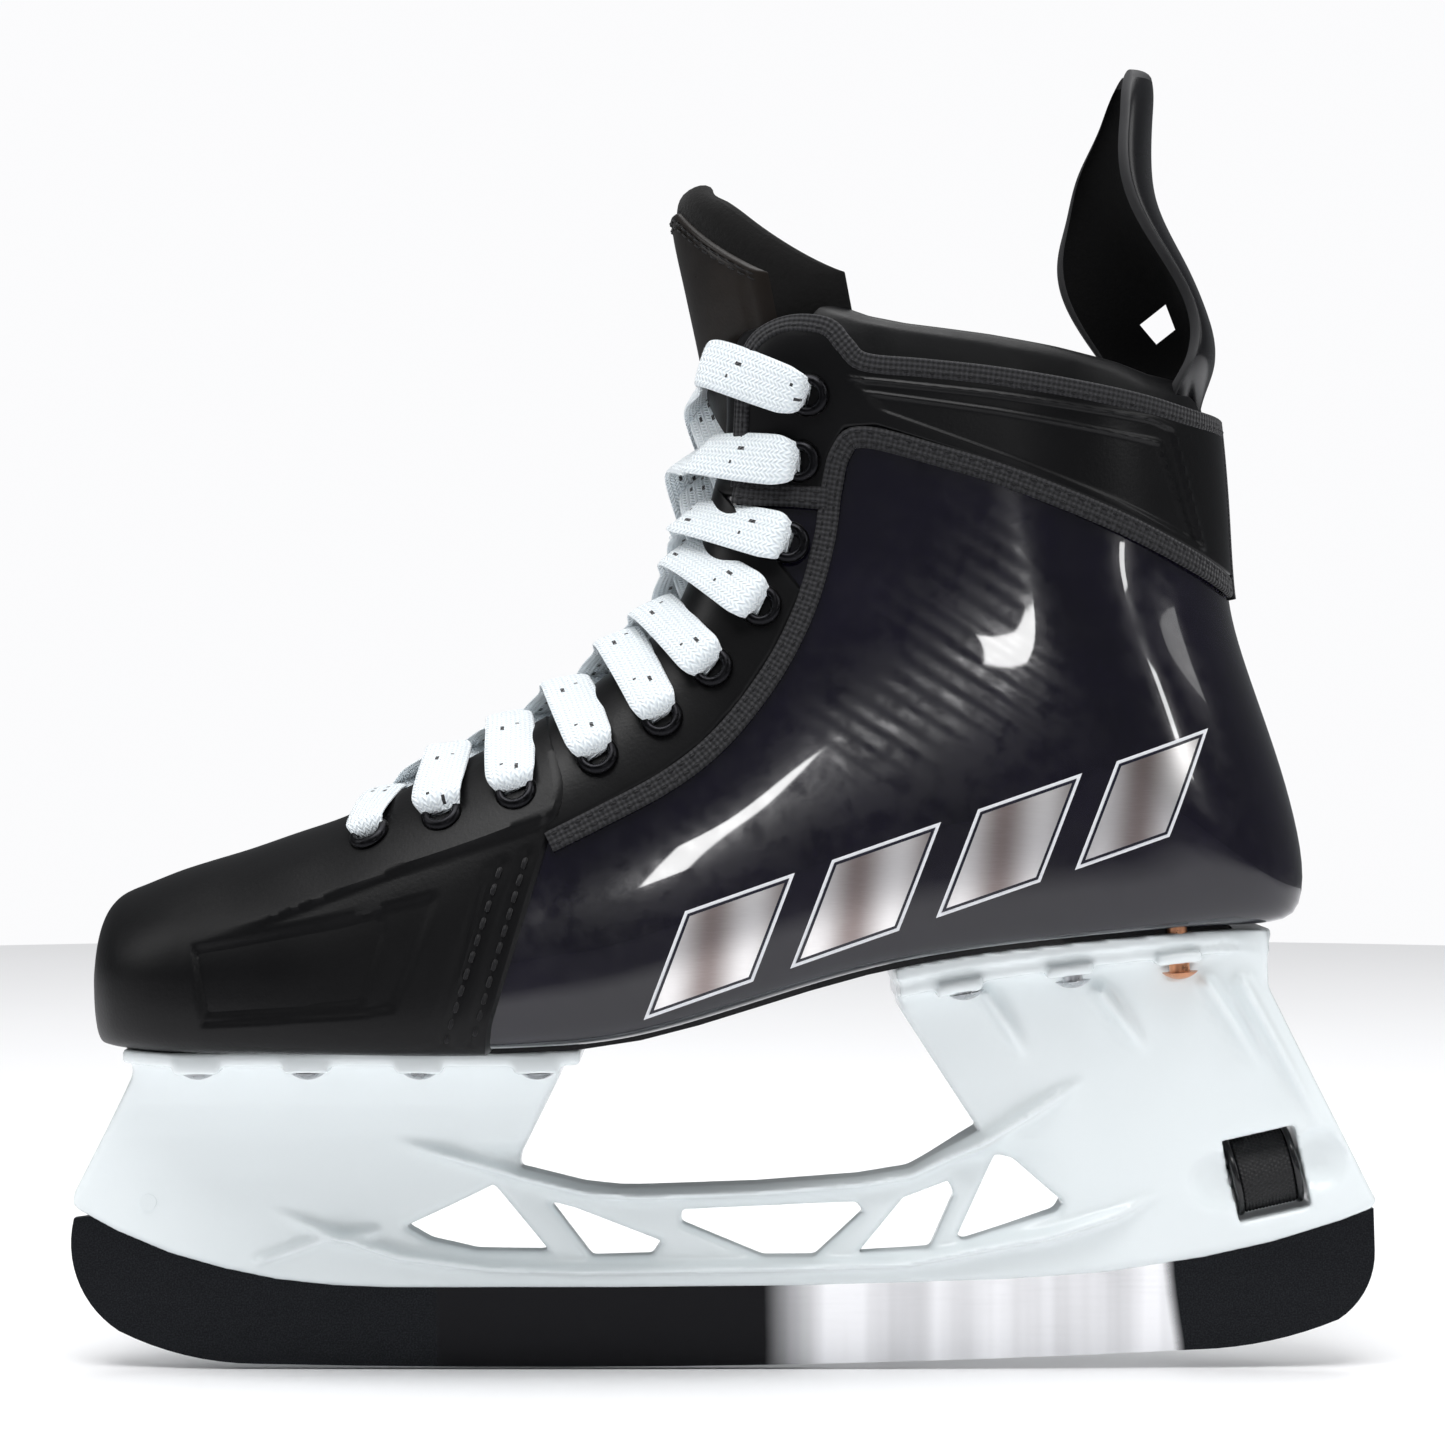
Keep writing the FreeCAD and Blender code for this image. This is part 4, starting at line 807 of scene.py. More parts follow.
def make_toe_cap():
    """Hard toe cap with its relief, and the crown that closes its top."""
    half = eased(96)
    v, side = both_sides(half)
    # rear edge: the side-view line x(z) under the throat, the pivot plane above it
    s_try = np.linspace(-58.0, 4.0, 700)
    grid = boot_point(s_try[:, None], half[None, :], 1.0, 1.6)
    edge = sorted((z, x) for x, z in TOE_EDGE)
    over = grid[..., 0] - np.interp(grid[..., 2], [e[0] for e in edge], [e[1] for e in edge])
    end = np.array([s_try[np.argmax(over[:, j] > 0)] for j in range(len(half))])
    end = mirrored(np.convolve(np.pad(end, 2, mode="edge"), np.ones(5) / 5, mode="valid"))
    # rows crowd at the blunt nose
    t = (np.linspace(0, 1, 150) ** 1.7)[:, None]
    s = TOE_START + t * (end[None, :] - TOE_START)
    flat = boot_point(s, v[None, :], side[None, :], CAP_THICK)
    relief = toe_relief(flat[..., 0], flat[..., 2]) * step_up(np.abs(flat[..., 1]), 26.0, 34.0)
    rim = 0.9 * (1 - rounded((end[None, :] - s) * TOE_STEP, 1.0))
    outer = boot_point(s, v[None, :], side[None, :], CAP_THICK + relief - rim)
    inner = boot_point(s, v[None, :], side[None, :], CAP_INSIDE)
    centre = outer[0].mean(axis=0)
    outer = np.concatenate([nose_rings(outer[0], centre, NOSE_RINGS, NOSE_BULGE), outer])
    inner = np.concatenate([nose_rings(inner[0], inner[0].mean(axis=0), NOSE_RINGS, 0.0), inner])
    place(wall("toe_cap_body", outer, inner, M["toe"]), "boot", "toe_cap", "toe_cap", "toe_lining")
    # crown that closes the top of the toe ahead of the lacing
    s = (TOE_START + np.linspace(0, 1, 60) ** 1.5 * CROWN_LENGTH)[:, None]
    across = np.linspace(-1, 1, 21)[None, :]
    top = np.repeat(boot_point(s, 1.0, 1.0, CAP_THICK), across.shape[1], axis=1)
    width = throat_w(s)
    top[..., 1] = toe_bend(s) + across * width
    top[..., 2] += 0.25 * (1 - across ** 2) * np.minimum(width / 9.0, 1.0)
    top = np.concatenate([nose_rings(top[0], centre, (0.0, *NOSE_RINGS[1:]), NOSE_BULGE), top])
    under = top - np.array([0, 0, 1.3])
    under[:8, :, 0] += NOSE_BULGE
    place(wall("toe_crown", top, under, M["toe"]), "boot", "toe_cap")


PANEL_OUTER = [(29.5, 233.0), (60.0, 229.6), (99.2, 224.2), (104.3, 222.4), (112.2, 195.4)]
PANEL_INNER = [(33.0, 229.8), (62.0, 225.6), (101.0, 219.0), (109.0, 197.6)]
PANEL_FLOOR = [(90.9, 205.2), (65.8, 214.8), (36.0, 225.6)]
TOP_TAPE = [(4.4, 209.0), (5.0, 222.0), (5.6, 232.0), (6.8, 239.6), (10.2, 243.8), (16.4, 245.9),
            (24.2, 244.9), (28.2, 240.6), (32.6, 236.8), (46.0, 235.3), (60.6, 233.7), (78.0, 231.1),
            (95.3, 228.1), (108.0, 225.3), (118.0, 223.9)]
CROSS_TAPE = [(3.4, 207.4), (8.0, 206.8), (16.0, 206.4), (24.4, 205.8)]


def facing_foot(s):
    """Lowest height of the facing at each station, as a fraction of the boot's side."""
    edge_x, edge_z = zip(*FACING_REAR)
    tries = np.linspace(0, 1, 400)
    out = []
    for k in s:
        r = sole_r(k) + tries * (top_r(k) - sole_r(k))
        x, z = side_point(np.full_like(r, k), r)
        out.append(tries[np.argmax((x < np.interp(z, edge_z, edge_x)) & (z > np.interp(x, edge_x, edge_z)))])
    return np.array(out)


def cuff_relief(x, z):
    """Raised outlines and the sunken field of the cuff's panel."""
    relief = np.zeros_like(x)
    for panel in (PANEL_OUTER, PANEL_INNER):
        dist, _ = to_polyline(x, z, panel)
        relief += 0.45 * np.exp(-(dist / 0.55) ** 2)
    field = inside(x, z, PANEL_OUTER + PANEL_FLOOR)
    return relief - 0.5 * step_up(-field, -0.2, 1.0)


def trim_wall(name, s, v, side, lift, relief=0.0):
    """Matte trim on the shell, with a rounded edge."""
    outer = boot_point(s, v, side, TRIM_BASE + TRIM_THICK * lift + relief)
    inner = boot_point(s, v, side, TRIM_INSIDE)
    place(wall(name + "_body", outer, inner, M["trim"]), "boot", "matte_trim", name)


def make_facings():
    """Facing from the toe cap to the cross tape, and the cuff from the throat to the back."""
    for name, side in SIDES.items():
        s = np.linspace(-0.6, 38.6, 90)
        lo = facing_foot(s)
        t = np.concatenate([edge_rows(34, 22.0)[:-1] * 0.9, 0.9 + 0.1 * eased(10)])
        v = lo[:, None] + t[None, :] * (1 - lo[:, None])
        ends = np.minimum(s - s[0], s[-1] - s)[:, None] * 1.6
        trim_wall("facing_" + name, s[:, None], v, side, rounded(np.minimum(ends, t[None, :] * 22.0), 1.0))

        v = eased(150)
        a = crossing_station(v, side, CUFF_LOWER, first=20.0)
        b = crossing_station(v, side, cuff_rim(1.5), first=40.0)
        rows = edge_rows(84, 30.0)[:, None]
        s = a[None, :] + rows * (b - a)[None, :]
        flat = boot_point(s, v[None, :], side, 1.3)
        lift = rounded(np.minimum(rows, 1 - rows) * 28.0, 1.0)
        trim_wall("cuff_" + name, s, v[None, :], side, lift, cuff_relief(flat[..., 0], flat[..., 2]))


def ribbon(name, centre, normals, half_width, height, material, taper=None, lens=6, thick_back=0.15):
    """Flat band with rounded edges along a 3-D line; its surface map is in millimetres."""
    along = unit(np.gradient(centre, axis=0))
    across = unit(np.cross(along, normals))
    up = unit(np.cross(across, along))
    t = np.array([-1.0, -0.97, -0.88, -0.7, -0.45, -0.15, 0.15, 0.45, 0.7, 0.88, 0.97, 1.0])
    shape = (1 - np.abs(t) ** lens) ** (1 / 2.0)
    length = run_length(centre)
    w = half_width * (np.ones(len(centre)) if taper is None else taper)
    rings, uv = [], []
    for i in range(len(centre)):
        top = [centre[i] + across[i] * (w[i] * k) + up[i] * (height * h) for k, h in zip(t, shape)]
        under = [centre[i] + across[i] * (w[i] * k) - up[i] * (thick_back * h)
                 for k, h in zip(t[1:-1][::-1], shape[1:-1][::-1])]
        rings.append(top + under)
        uv.append([(half_width * k, length[i]) for k in t] + [(half_width * k, length[i]) for k in t[1:-1][::-1]])
    return tube_grid(name, np.array(rings), material, np.array(uv))


def on_skin(points, side, lift, spacing=1.0):
    """Side-view line laid on the boot: places and normals."""
    path, _ = curve(points, spacing)
    normals = skin_normal(path[:, 0], path[:, 1], side)
    return skin_point(path[:, 0], path[:, 1], side) + normals * lift, normals


def stitch_rows(name, rows, material, length=2.0, gap=1.0, radius=0.33):
    """Short thread loops along lines of places and normals."""
    verts, faces, ring = [], [], 6
    profile = [(-1.0, -0.5, 0.5), (-0.6, 0.35, 0.95), (0.0, 0.6, 1.0), (0.6, 0.35, 0.95), (1.0, -0.5, 0.5)]
    for centre, normals in rows:
        dist = run_length(centre)
        at = np.arange(gap, dist[-1] - length, length + gap) + length / 2
        pos = along_line(at, dist, centre)
        nor = unit(along_line(at, dist, normals))
        tan = unit(along_line(at + 0.4, dist, centre) - along_line(at - 0.4, dist, centre))
        for p, n, a in zip(pos, nor, tan):
            b = np.cross(a, n)
            start = len(verts)
            for k, lift, grow in profile:
                for j in range(ring):
                    q = 2 * math.pi * j / ring
                    verts.append(p + a * (k * length / 2) + n * (lift * radius + math.sin(q) * radius * grow * 0.7)
                                 + b * (math.cos(q) * radius * grow))
            faces += quads(len(profile), ring, start, True)
            faces += [tuple(range(start, start + ring))[::-1], tuple(range(len(verts) - ring, len(verts)))]
    return fix_normals(add_mesh(name, np.array(verts), faces, material))


def shifted(centre, normals, offset, lift):
    """A line moved sideways and outwards on the skin."""
    across = unit(np.cross(unit(np.gradient(centre, axis=0)), normals))
    return centre + across * offset + normals * lift, normals


def tape_on_skin(name, line, side, lift, half_width, height, stitches, stitch_lift, *nodes):
    """Woven tape along a side-view line; returns the lines of its stitching."""
    centre, normals = on_skin(line, side, lift)
    tape = ribbon(name, centre, normals, half_width, height, M["tape"], thick_back=0.9)
    place(tape, "boot", "binding", *nodes)
    return [shifted(centre, normals, k, stitch_lift) for k in stitches]


def make_bindings():
    """Edge tapes with their stitching, the toe cap's seams and the stay up the back."""
    rows = []
    for name, side in SIDES.items():
        rows += tape_on_skin("binding_" + name + "_tape", BINDING_LINE, side, 0.9, 2.5, 0.75, (-1.15, 1.15), 0.55,
                             "binding_" + name)
        rows += tape_on_skin("top_tape_" + name + "_band", TOP_TAPE, side, 1.0, 2.2, 0.8, (0.9,), 0.6,
                             "top_tape_" + name)
        rows += tape_on_skin("cross_tape_" + name, CROSS_TAPE, side, 1.2, 2.6, 0.7, (-1.2, 1.2), 0.55)
    place(stitch_rows("stitching", rows, M["thread"]), "boot", "binding")
    seams = [on_skin(line, side, 1.0) for side in SIDES.values() for line in (STITCH_FRONT, STITCH_REAR)]
    place(stitch_rows("toe_cap_seams", seams, M["thread"], 3.0, 1.0, 0.55), "boot", "binding")
    z = np.linspace(184.0, 226.0, 40)
    back = np.stack([[skin_point(np.interp(k, [184, 190, 200, 226], [121.6, 121.6, 121.2, 118.9]), k, 0.0)[0]
                      for k in z], np.zeros(40), z], -1)
    s = np.array([np.degrees(np.arctan2(p[0] - PIVOT_X, PIVOT_Z - p[2])) for p in back])
    x, z = side_point(s, sole_r(s) + 1.1)
    centre = np.stack([x, np.zeros_like(x), z], -1)
    normals = np.tile(np.array([1.0, 0.0, 0.1]), (len(x), 1))
    stay = ribbon("back_stay_tape", centre, normals, 5.5, 0.7, M["tape"], thick_back=0.6)
    place(stay, "boot", "binding", "back_stay")


# inset from the bar's edge, height above the shell and material of each layer
BADGE_LAYERS = [(0.0, 0.10, "badge_white"), (0.9, 0.22, "badge_dark"), (1.7, 0.34, "badge")]


def make_badges():
    """Leaning bars on the shell: white edge, dark line and brushed middle."""
    height, lean, rise, n = 25.0, 9.5, 0.345, 24
    for name, side in SIDES.items():
        for layer, (inset, d, key) in enumerate(BADGE_LAYERS):
            verts, faces, uvs = [], [], []
            for x, z, width in BADGE_BARS:
                a, b = np.meshgrid(np.linspace(inset / width, 1 - inset / width, n),
                                   np.linspace(inset / height, 1 - inset / height, n), indexing="ij")
                px = x + a * width + b * lean
                pz = z + a * width * rise + b * height
                outer, inner = skin_point(px, pz, side, d), skin_point(px, pz, side, 0.03)
                start = len(verts)
                verts += list(outer.reshape(-1, 3)) + list(inner.reshape(-1, 3))
                uvs += list(np.stack([a * width, b * height], -1).reshape(-1, 2)) * 2
                faces += wall_faces(n, n, start)
            obj = add_mesh("badge_%s_%d" % (name, layer), np.array(verts), faces, M[key], np.array(uvs))
            place(sharpen(fix_normals(obj)), "boot", "badge", *(["badge_" + name] if layer == 2 else []))


def make_collar():
    """Padded horseshoe rim with soft puckers."""
    half = eased(70) * 0.945
    v, side = both_sides(half)
    end = mirrored(crossing_station(half, 1.0, COLLAR_TOP, d=-4.0, first=40.0))
    depth_in = np.interp(v, [0, 0.12, 0.3, 1.0], [4.6, 6.4, 6.8, 5.6])
    rows_s, rows_d = [], []
    # drop below the rim and share of the padding's thickness, from the shell's side over the rim to the foot's
    profile = [(-26.0, 0.0), (-14.0, 0.0), (-8.0, 0.0), (-4.0, 0.02), (-2.2, 0.1), (-0.9, 0.22), (-0.25, 0.36),
               (0.0, 0.5), (-0.25, 0.66), (-1.0, 0.82), (-2.6, 0.96), (-5.0, 1.02), (-9.0, 1.05), (-14.0, 1.0),
               (-20.0, 0.95), (-30.0, 0.85)]
    column = np.arange(len(v))
    puff = 0.35 * np.sin(column * 0.55) + 0.25 * np.sin(column * 0.23 + 1.0)
    for drop, across in curve(profile, 0.7)[0]:
        rows_s.append(end + drop / 2.6)
        rows_d.append(-2.8 - across * depth_in + 0.18 * puff * (0.2 < across < 1.1))
    skin = boot_point(np.array(rows_s), v[None, :], side[None, :], np.array(rows_d))
    obj = add_mesh("collar_padding_body", skin.reshape(-1, 3), quads(*skin.shape[:2]), M["padding"])
    fix_normals(obj)
    solid = obj.modifiers.new("thickness", "SOLIDIFY")
    solid.thickness, solid.offset = 0.8 * MM, -1.0
    place(obj, "boot", "padding", "collar_padding", "collar_front_pads")


def make_eyelets():
    """Rolled metal rings with their barrels."""
    # radius and height above the shell
    profile = [(2.5, -3.6), (2.5, 1.4), (2.7, 2.2), (3.3, 2.75), (4.0, 2.65), (4.6, 2.2), (4.95, 1.5), (4.95, 1.0),
               (3.2, 1.0), (3.1, -3.6)]
    turns = 28
    for name, side in SIDES.items():
        verts, faces = [], []
        for x, z in EYELETS:
            n = skin_normal(np.array(x), np.array(z), side)
            base = skin_point(x, z, side) + n * 0.6
            a = unit(np.cross(n, [0, 0, 1.0]))
            b = np.cross(n, a)
            start = len(verts)
            for r, h in profile:
                for k in range(turns):
                    q = 2 * math.pi * k / turns
                    verts.append(base + n * h + a * (r * math.cos(q)) + b * (r * math.sin(q)))
            faces += quads(len(profile), turns, start, True)
            last = start + (len(profile) - 1) * turns
            faces += [(last + k, start + k, start + (k + 1) % turns, last + (k + 1) % turns) for k in range(turns)]
        obj = fix_normals(add_mesh("eyelets_" + name + "_rings", np.array(verts), faces, M["eyelet"]))
        place(obj, "boot", "eyelet", "eyelets_" + name)


# ------------------------------------------------------------------ lace
# how far below its eyelet each strap leaves the facing's edge, in stations
EDGE_DROP = [0.0, 0.4, 1.8, 4.0, 3.7, 5.3, 7.0, 11.0, 12.0, 3.0]


def edge_point(s, y, rise):
    """Place above the throat's edge at station s, y from the middle of the lacing."""
    x, z = side_point(np.float64(s), top_r(s) - rise)
    return np.array([float(x), float(y + toe_bend(s)), float(z)])


def strap(n, side, seed):
    """Lace from under the facing at eyelet n, over the other facing and into eyelet n + 1."""
    rng = np.random.default_rng(seed)
    s0, s1 = (float(station(*EYELETS[k])[0]) - EDGE_DROP[k] for k in (n, n + 1))
    x1, z1 = EYELETS[n + 1]
    w0, w1 = float(throat_w(s0)), float(throat_w(s1))
    up0, up1 = (unit(edge_point(s, 0, 5) - edge_point(s, 0, 0)) for s in (s0, s1))
    n1, e1 = skin_normal(np.array(x1), np.array(z1), -side), skin_point(x1, z1, -side)
    middle = (s0 + s1) / 2
    # height of the crossing over the throat: the medial strap passes above the lateral one
    lift = float(np.interp(middle, [0, 18, 28, 36, 46, 60], [2.0, 2.6, 4.2, 6.4, 7.6, 7.8]))
    lift += 0.0 if side < 0 else 1.6
    lift += 4.5 if (n, side) == (7, 1.0) else 0.0
    far = np.array([0.0, -side, 0.0])
    slack = rng.uniform(0.0, 0.8)
    rise = 4.4 + slack + 0.3 * (lift - 2.0)
    edge1 = edge_point(s1, -side * (w1 + 2.8), 5.9 + slack)
    back = unit(edge1 - e1)
    points = [edge_point(s0, side * (w0 + 2.0), -4.2), edge_point(s0 + 0.1 * (s1 - s0), side * (w0 - 4.5), -1.0),
              edge_point(middle, side * 1.0, lift), edge_point(s1 - 0.15 * (s1 - s0), -side * (w1 - 5.0), rise),
              edge1, e1 + n1 * (5.2 + slack) + back * 5.2, e1 + n1 * 3.4 + back * 1.2, e1 - n1 * 1.5]
    normals = [up0, up0, up0, unit(up1 * 3 + far), unit(up1 + far), unit(n1 * 2 + up1 * 0.4), n1, unit(n1 + back)]
    path, _ = curve([np.concatenate([p, q]) for p, q in zip(points, normals)], 0.8)
    return path[:, :3], unit(path[:, 3:])


def lace_ribbon(name, centre, normals, half_width, taper):
    return ribbon(name, centre, normals, half_width, LACE_HEIGHT, M["lace"], taper=taper, lens=3,
                  thick_back=LACE_BACK)


def make_lace():
    """Flat lace crossed through ten pairs of eyelets, and its first bar over the toe."""
    for n in range(len(EYELETS) - 1):
        for name, side in SIDES.items():
            centre, normals = strap(n, side, 10 * n + int(side > 0))
            k = np.arange(len(centre)) / (len(centre) - 1)
            taper = 1.0 - 0.38 * step_up(k, 0.88, 1.0) - 0.1 * (1 - step_up(k, 0.0, 0.2))
            taper += 0.05 * np.sin(k * 9 + n)
            obj = lace_ribbon("lace_strap_%d_%s" % (n, name), centre, normals, LACE_HALF_WIDTH, taper)
            place(obj, "boot", "lace", *(["lace"] if (n, name) == (0, "lateral") else []))
    # first bar, straight across between the two lowest eyelets
    x, z = EYELETS[0]
    s = float(station(x, z)[0])
    points, normals = [], []
    for side in SIDES.values():
        n0, e0 = skin_normal(np.array(x), np.array(z), side), skin_point(x, z, side)
        edge = edge_point(s, side * (float(throat_w(s)) + 1.0), 3.2)
        way = unit(edge - e0)
        group = [(e0 - n0 * 1.5, n0), (e0 + n0 * 3.4 + way * 1.0, n0), (e0 + n0 * 4.4 + way * 5.0, n0),
                 (edge, unit(np.array([-0.2, side * 0.3, 1.0])))]
        group = group if side < 0 else group[::-1]
        points += [g[0] for g in group]
        normals += [g[1] for g in group]
    path, _ = curve([np.concatenate([p, q]) for p, q in zip(points, normals)], 0.8)
    k = np.abs(np.arange(len(path)) / (len(path) - 1) - 0.5) * 2
    bar = lace_ribbon("lace_first_bar", path[:, :3], unit(path[:, 3:]), 5.0, 1 - 0.45 * step_up(k, 0.8, 1.0))
    place(bar, "boot", "lace")


# ------------------------------------------------------------------ tongue
TONGUE_SIDE = [(-92.0, 121.5), (-80.0, 127.6), (-62.0, 136.0), (-44.0, 146.2), (-30.0, 155.6), (-18.0, 165.6),
               (-9.0, 177.0), (-4.0, 190.0), (-1.2, 205.0), (-0.6, 222.0), (-3.6, 239.0), (-7.2, 256.0),
               (-10.2, 270.0), (-10.8, 278.0), (-7.6, 283.6)]


def tongue_sheet(t_rows, u, offset):
    """Curved tongue skin: rows run from toe to top, columns across; offset is along the inward normal."""
    path, length = curve(TONGUE_SIDE, 1.0)
    tangent = unit(np.gradient(path, axis=0))
    at = t_rows * length[-1]
    px, pz = (np.interp(at, length, path[:, k]) for k in (0, 1))
    tx, tz = (np.interp(at, length, tangent[:, k]) for k in (0, 1))
    half = np.interp(at, length[-1] * np.array([0, 0.2, 0.6, 0.75, 0.85, 0.95, 1.0]), [20, 24, 28, 31, 33, 33, 32])
    depth = np.interp(at, length[-1] * np.array([0, 0.3, 0.55, 0.7, 0.8, 1.0]), [5, 8, 16, 27, 31, 32])
    # the section is an ellipse cut off at this share of its half width
    cut = 0.97
    bend = (1 - np.sqrt(np.clip(1 - (cut * np.abs(u)) ** 2, 0, 1))) / (1 - math.sqrt(1 - cut ** 2))
    back = depth * bend + offset
    nx, nz = tz, -tx
    flip = np.where(nx > 0, 1.0, -1.0)
    x = px + nx * flip * back
    z = pz + nz * flip * back * np.where(at > 0.62 * length[-1], 0.25, 1.0)
    return np.stack([x, u * half, z], -1)


def tongue_end(u):
    """How far up the tongue reaches across its width, as a fraction of the middle's."""
    return 1.0 - 0.135 * np.abs(u) ** 2.2


def shield_top(u):
    """How far up the tongue the shield reaches; u is 1 at the shield's sides."""
    return 0.958 - 0.115 * np.clip(np.abs(u) * 1.05 - 0.25, 0, 1) ** 1.3


def follow_tongue(obj):
    """Bakes the piece's place into its mesh."""
    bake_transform(obj)


def make_tongue():
    """Felt tongue, its smooth front shield with a raised edge, and the stitching."""
    u = np.sin(np.linspace(-1, 1, 61) * math.pi / 2)[None, :]
    rows = edge_rows(150, 240.0, 4.0)[:, None]
    t = rows * tongue_end(u)
    soft = rounded(np.minimum((1 - rows) * 230.0, (1 - np.abs(u)) * 60.0), 5.0)
    ripple = 0.35 * np.sin(rows * 95.0) * step_up(rows, 0.15, 0.3) * (1 - step_up(rows, 0.68, 0.74))
    outer = tongue_sheet(t, u, 4.2 - 4.2 * soft - ripple)
    inner = tongue_sheet(t, u, 4.2 + 4.6 * soft)
    body = wall("tongue_body", outer, inner, M["felt"])
    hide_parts("tongue_lower", "tongue_neck", "tongue_pad")
    follow_tongue(body)

    u = np.linspace(-1, 1, 61)[None, :]
    rows = edge_rows(70, 90.0)[:, None]
    t = SHIELD_FOOT + rows * (shield_top(u) - SHIELD_FOOT)
    edge = np.minimum((1 - rows) * SHIELD_HEIGHT, (1 - np.abs(u)) * 30.0)
    lift = 1.5 * rounded(edge, 1.2)
    seam = 0.5 * np.exp(-((edge - 3.0) / 0.6) ** 2)
    outer = tongue_sheet(t, u * SHIELD_WIDTH, -lift + seam)
    inner = tongue_sheet(t, u * SHIELD_WIDTH, 0.3)
    shield = wall("tongue_shield_skin", outer, inner, M["shield"])
    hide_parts("tongue_shield")
    follow_tongue(shield)
    lines = []
    u = np.linspace(-0.84, 0.84, 120)
    for inset in (2.2, 4.4):
        t = SHIELD_FOOT + (1 - inset / SHIELD_HEIGHT) * (shield_top(u / SHIELD_WIDTH) - SHIELD_FOOT)
        inward = tongue_sheet(t, u, 1.0) - tongue_sheet(t, u, 0.0)
        lines.append((tongue_sheet(t, u, -1.6), -unit(inward)))
    follow_tongue(stitch_rows("tongue_stitching", lines, M["thread"], 2.2, 0.9, 0.3))


# ------------------------------------------------------------------ tendon guard
# height; x and y of the near edge; x of the back; x and y of the far edge
GUARD = np.array([
    (206.0, 106.0, -24.0, 111.6, 106.0, 24.0), (222.0, 105.0, -25.0, 111.2, 104.0, 26.0),
    (233.0, 105.5, -25.0, 112.0, 100.0, 27.0), (242.6, 108.5, -24.0, 113.0, 94.0, 28.0),
    (252.0, 108.0, -22.0, 110.6, 87.5, 28.0), (262.0, 103.0, -21.0, 106.6, 83.0, 28.0),
    (270.0, 98.0, -20.5, 102.6, 82.6, 27.5), (278.0, 94.2, -20.0, 99.4, 84.4, 26.0),
    (289.0, 92.6, -17.5, 98.2, 87.0, 21.5), (299.0, 93.6, -13.0, 98.6, 91.5, 15.0),
    (306.5, 94.8, -7.5, 98.8, 94.2, 8.5), (310.2, 96.2, -3.0, 98.2, 96.2, 3.5),
])


def guard_skin(z, c, offset):
    """Point of the guard at height z; c runs from the near edge (0) over the back (0.5) to the far edge (1)."""
    curves = [Smooth(list(zip(GUARD[:, 0], GUARD[:, k]))) for k in range(1, 6)]
    nx, ny, bx, fx, fy = (f(z) for f in curves)
    left = 1 - np.minimum(c * 2, 1)
    right = np.maximum(c * 2 - 1, 0)
    y = ny * np.sin(left * math.pi / 2) + fy * np.sin(right * math.pi / 2)
    x = bx + (nx - bx) * (1 - np.cos(left * math.pi / 2)) + (fx - bx) * (1 - np.cos(right * math.pi / 2))
    # below the collar the guard tucks inside the boot's wall
    s, r = station(x, z + 0 * x)
    tuck = 1 - step_up(z, 226.0, 240.0)
    room = half_at(s, np.minimum(r, sole_r(s) - 9.0), -7.5)
    y = y + tuck * (np.clip(y, -room, room) - y)
    x = x - tuck * 2.0
    p = np.stack([x, y, z + 0 * x], -1)
    turn = (c - 0.5) * math.pi
    way = np.stack([0.35 + 0.65 * np.cos(turn), 0.95 * np.sin(turn), 0 * x], -1)
    return p + unit(way) * np.asarray(offset)[..., None]


def make_guard():
    """Tendon guard: hard outside, soft inside and a rolled rim."""
    c = eased(64)[None, :]
    rows = np.concatenate([np.linspace(0, 1, 110)[:-3], 1 - np.array([0.016, 0.009, 0.004, 0.0015, 0.0])])[:, None]
    z = 214.0 + rows * 96.2
    edge = np.minimum((1 - rows) * 96.0, np.minimum(c, 1 - c) * 70.0)
    soft = rounded(edge, 2.0)
    inner = guard_skin(z + 0 * c, c + 0 * z, 2.2 - 2.2 * soft)
    outer = guard_skin(z + 0 * c, c + 0 * z, 2.2 + 2.2 * soft)
    n, m = outer.shape[:2]
    # index 1, the inner face, takes the felt painted near black as painted shade
    obj = wall("tendon_guard_body", outer, inner, [M["guard_out"], M["guard_in"], M["rim_edge"]])
    for poly in obj.data.polygons:
        front = all(k < n * m for k in poly.vertices)
        rear = all(k >= n * m for k in poly.vertices)
        i = [(k % (n * m)) for k in poly.vertices]
        near_rim = min(float(edge[k // m, k % m]) for k in i) < 1.6
        poly.material_index = 2 if near_rim or not (front or rear) else (0 if front else 1)
    # the small window low in the inner wing
    box = box_points((108.2, 24.0, 252.5), (4.6, 14.0, 3.2), 0.65)
    hole = add_mesh("window_tool", box, BOX_FACES, M["guard_in"], smooth=False)
    cut = obj.modifiers.new("window", "BOOLEAN")
    cut.object, cut.operation, cut.solver = hole, "DIFFERENCE", "EXACT"
    apply_modifiers(obj)
    bpy.data.objects.remove(hole)
    sharpen(obj)
    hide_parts("guard_base", "tendon_guard")
    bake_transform(obj)


BOX_FACES = [(0, 1, 3, 2), (4, 6, 7, 5), (0, 4, 5, 1), (2, 3, 7, 6), (0, 2, 6, 4), (1, 5, 7, 3)]


def box_points(centre, half, tilt):
    """Corners of a box turned about y."""
    pts = []
    for i in (-1, 1):
        for j in (-1, 1):
            for k in (-1, 1):
                x, z = i * half[0], k * half[2]
                pts.append((centre[0] + x * math.cos(tilt) - z * math.sin(tilt), centre[1] + j * half[1],
                            centre[2] + x * math.sin(tilt) + z * math.cos(tilt)))
    return np.array(pts)


def apply_modifiers(obj):
    """Bakes an object's modifiers into its mesh."""
    depsgraph = bpy.context.evaluated_depsgraph_get()
    mesh = bpy.data.meshes.new_from_object(obj.evaluated_get(depsgraph))
    obj.modifiers.clear()
    obj.data = mesh


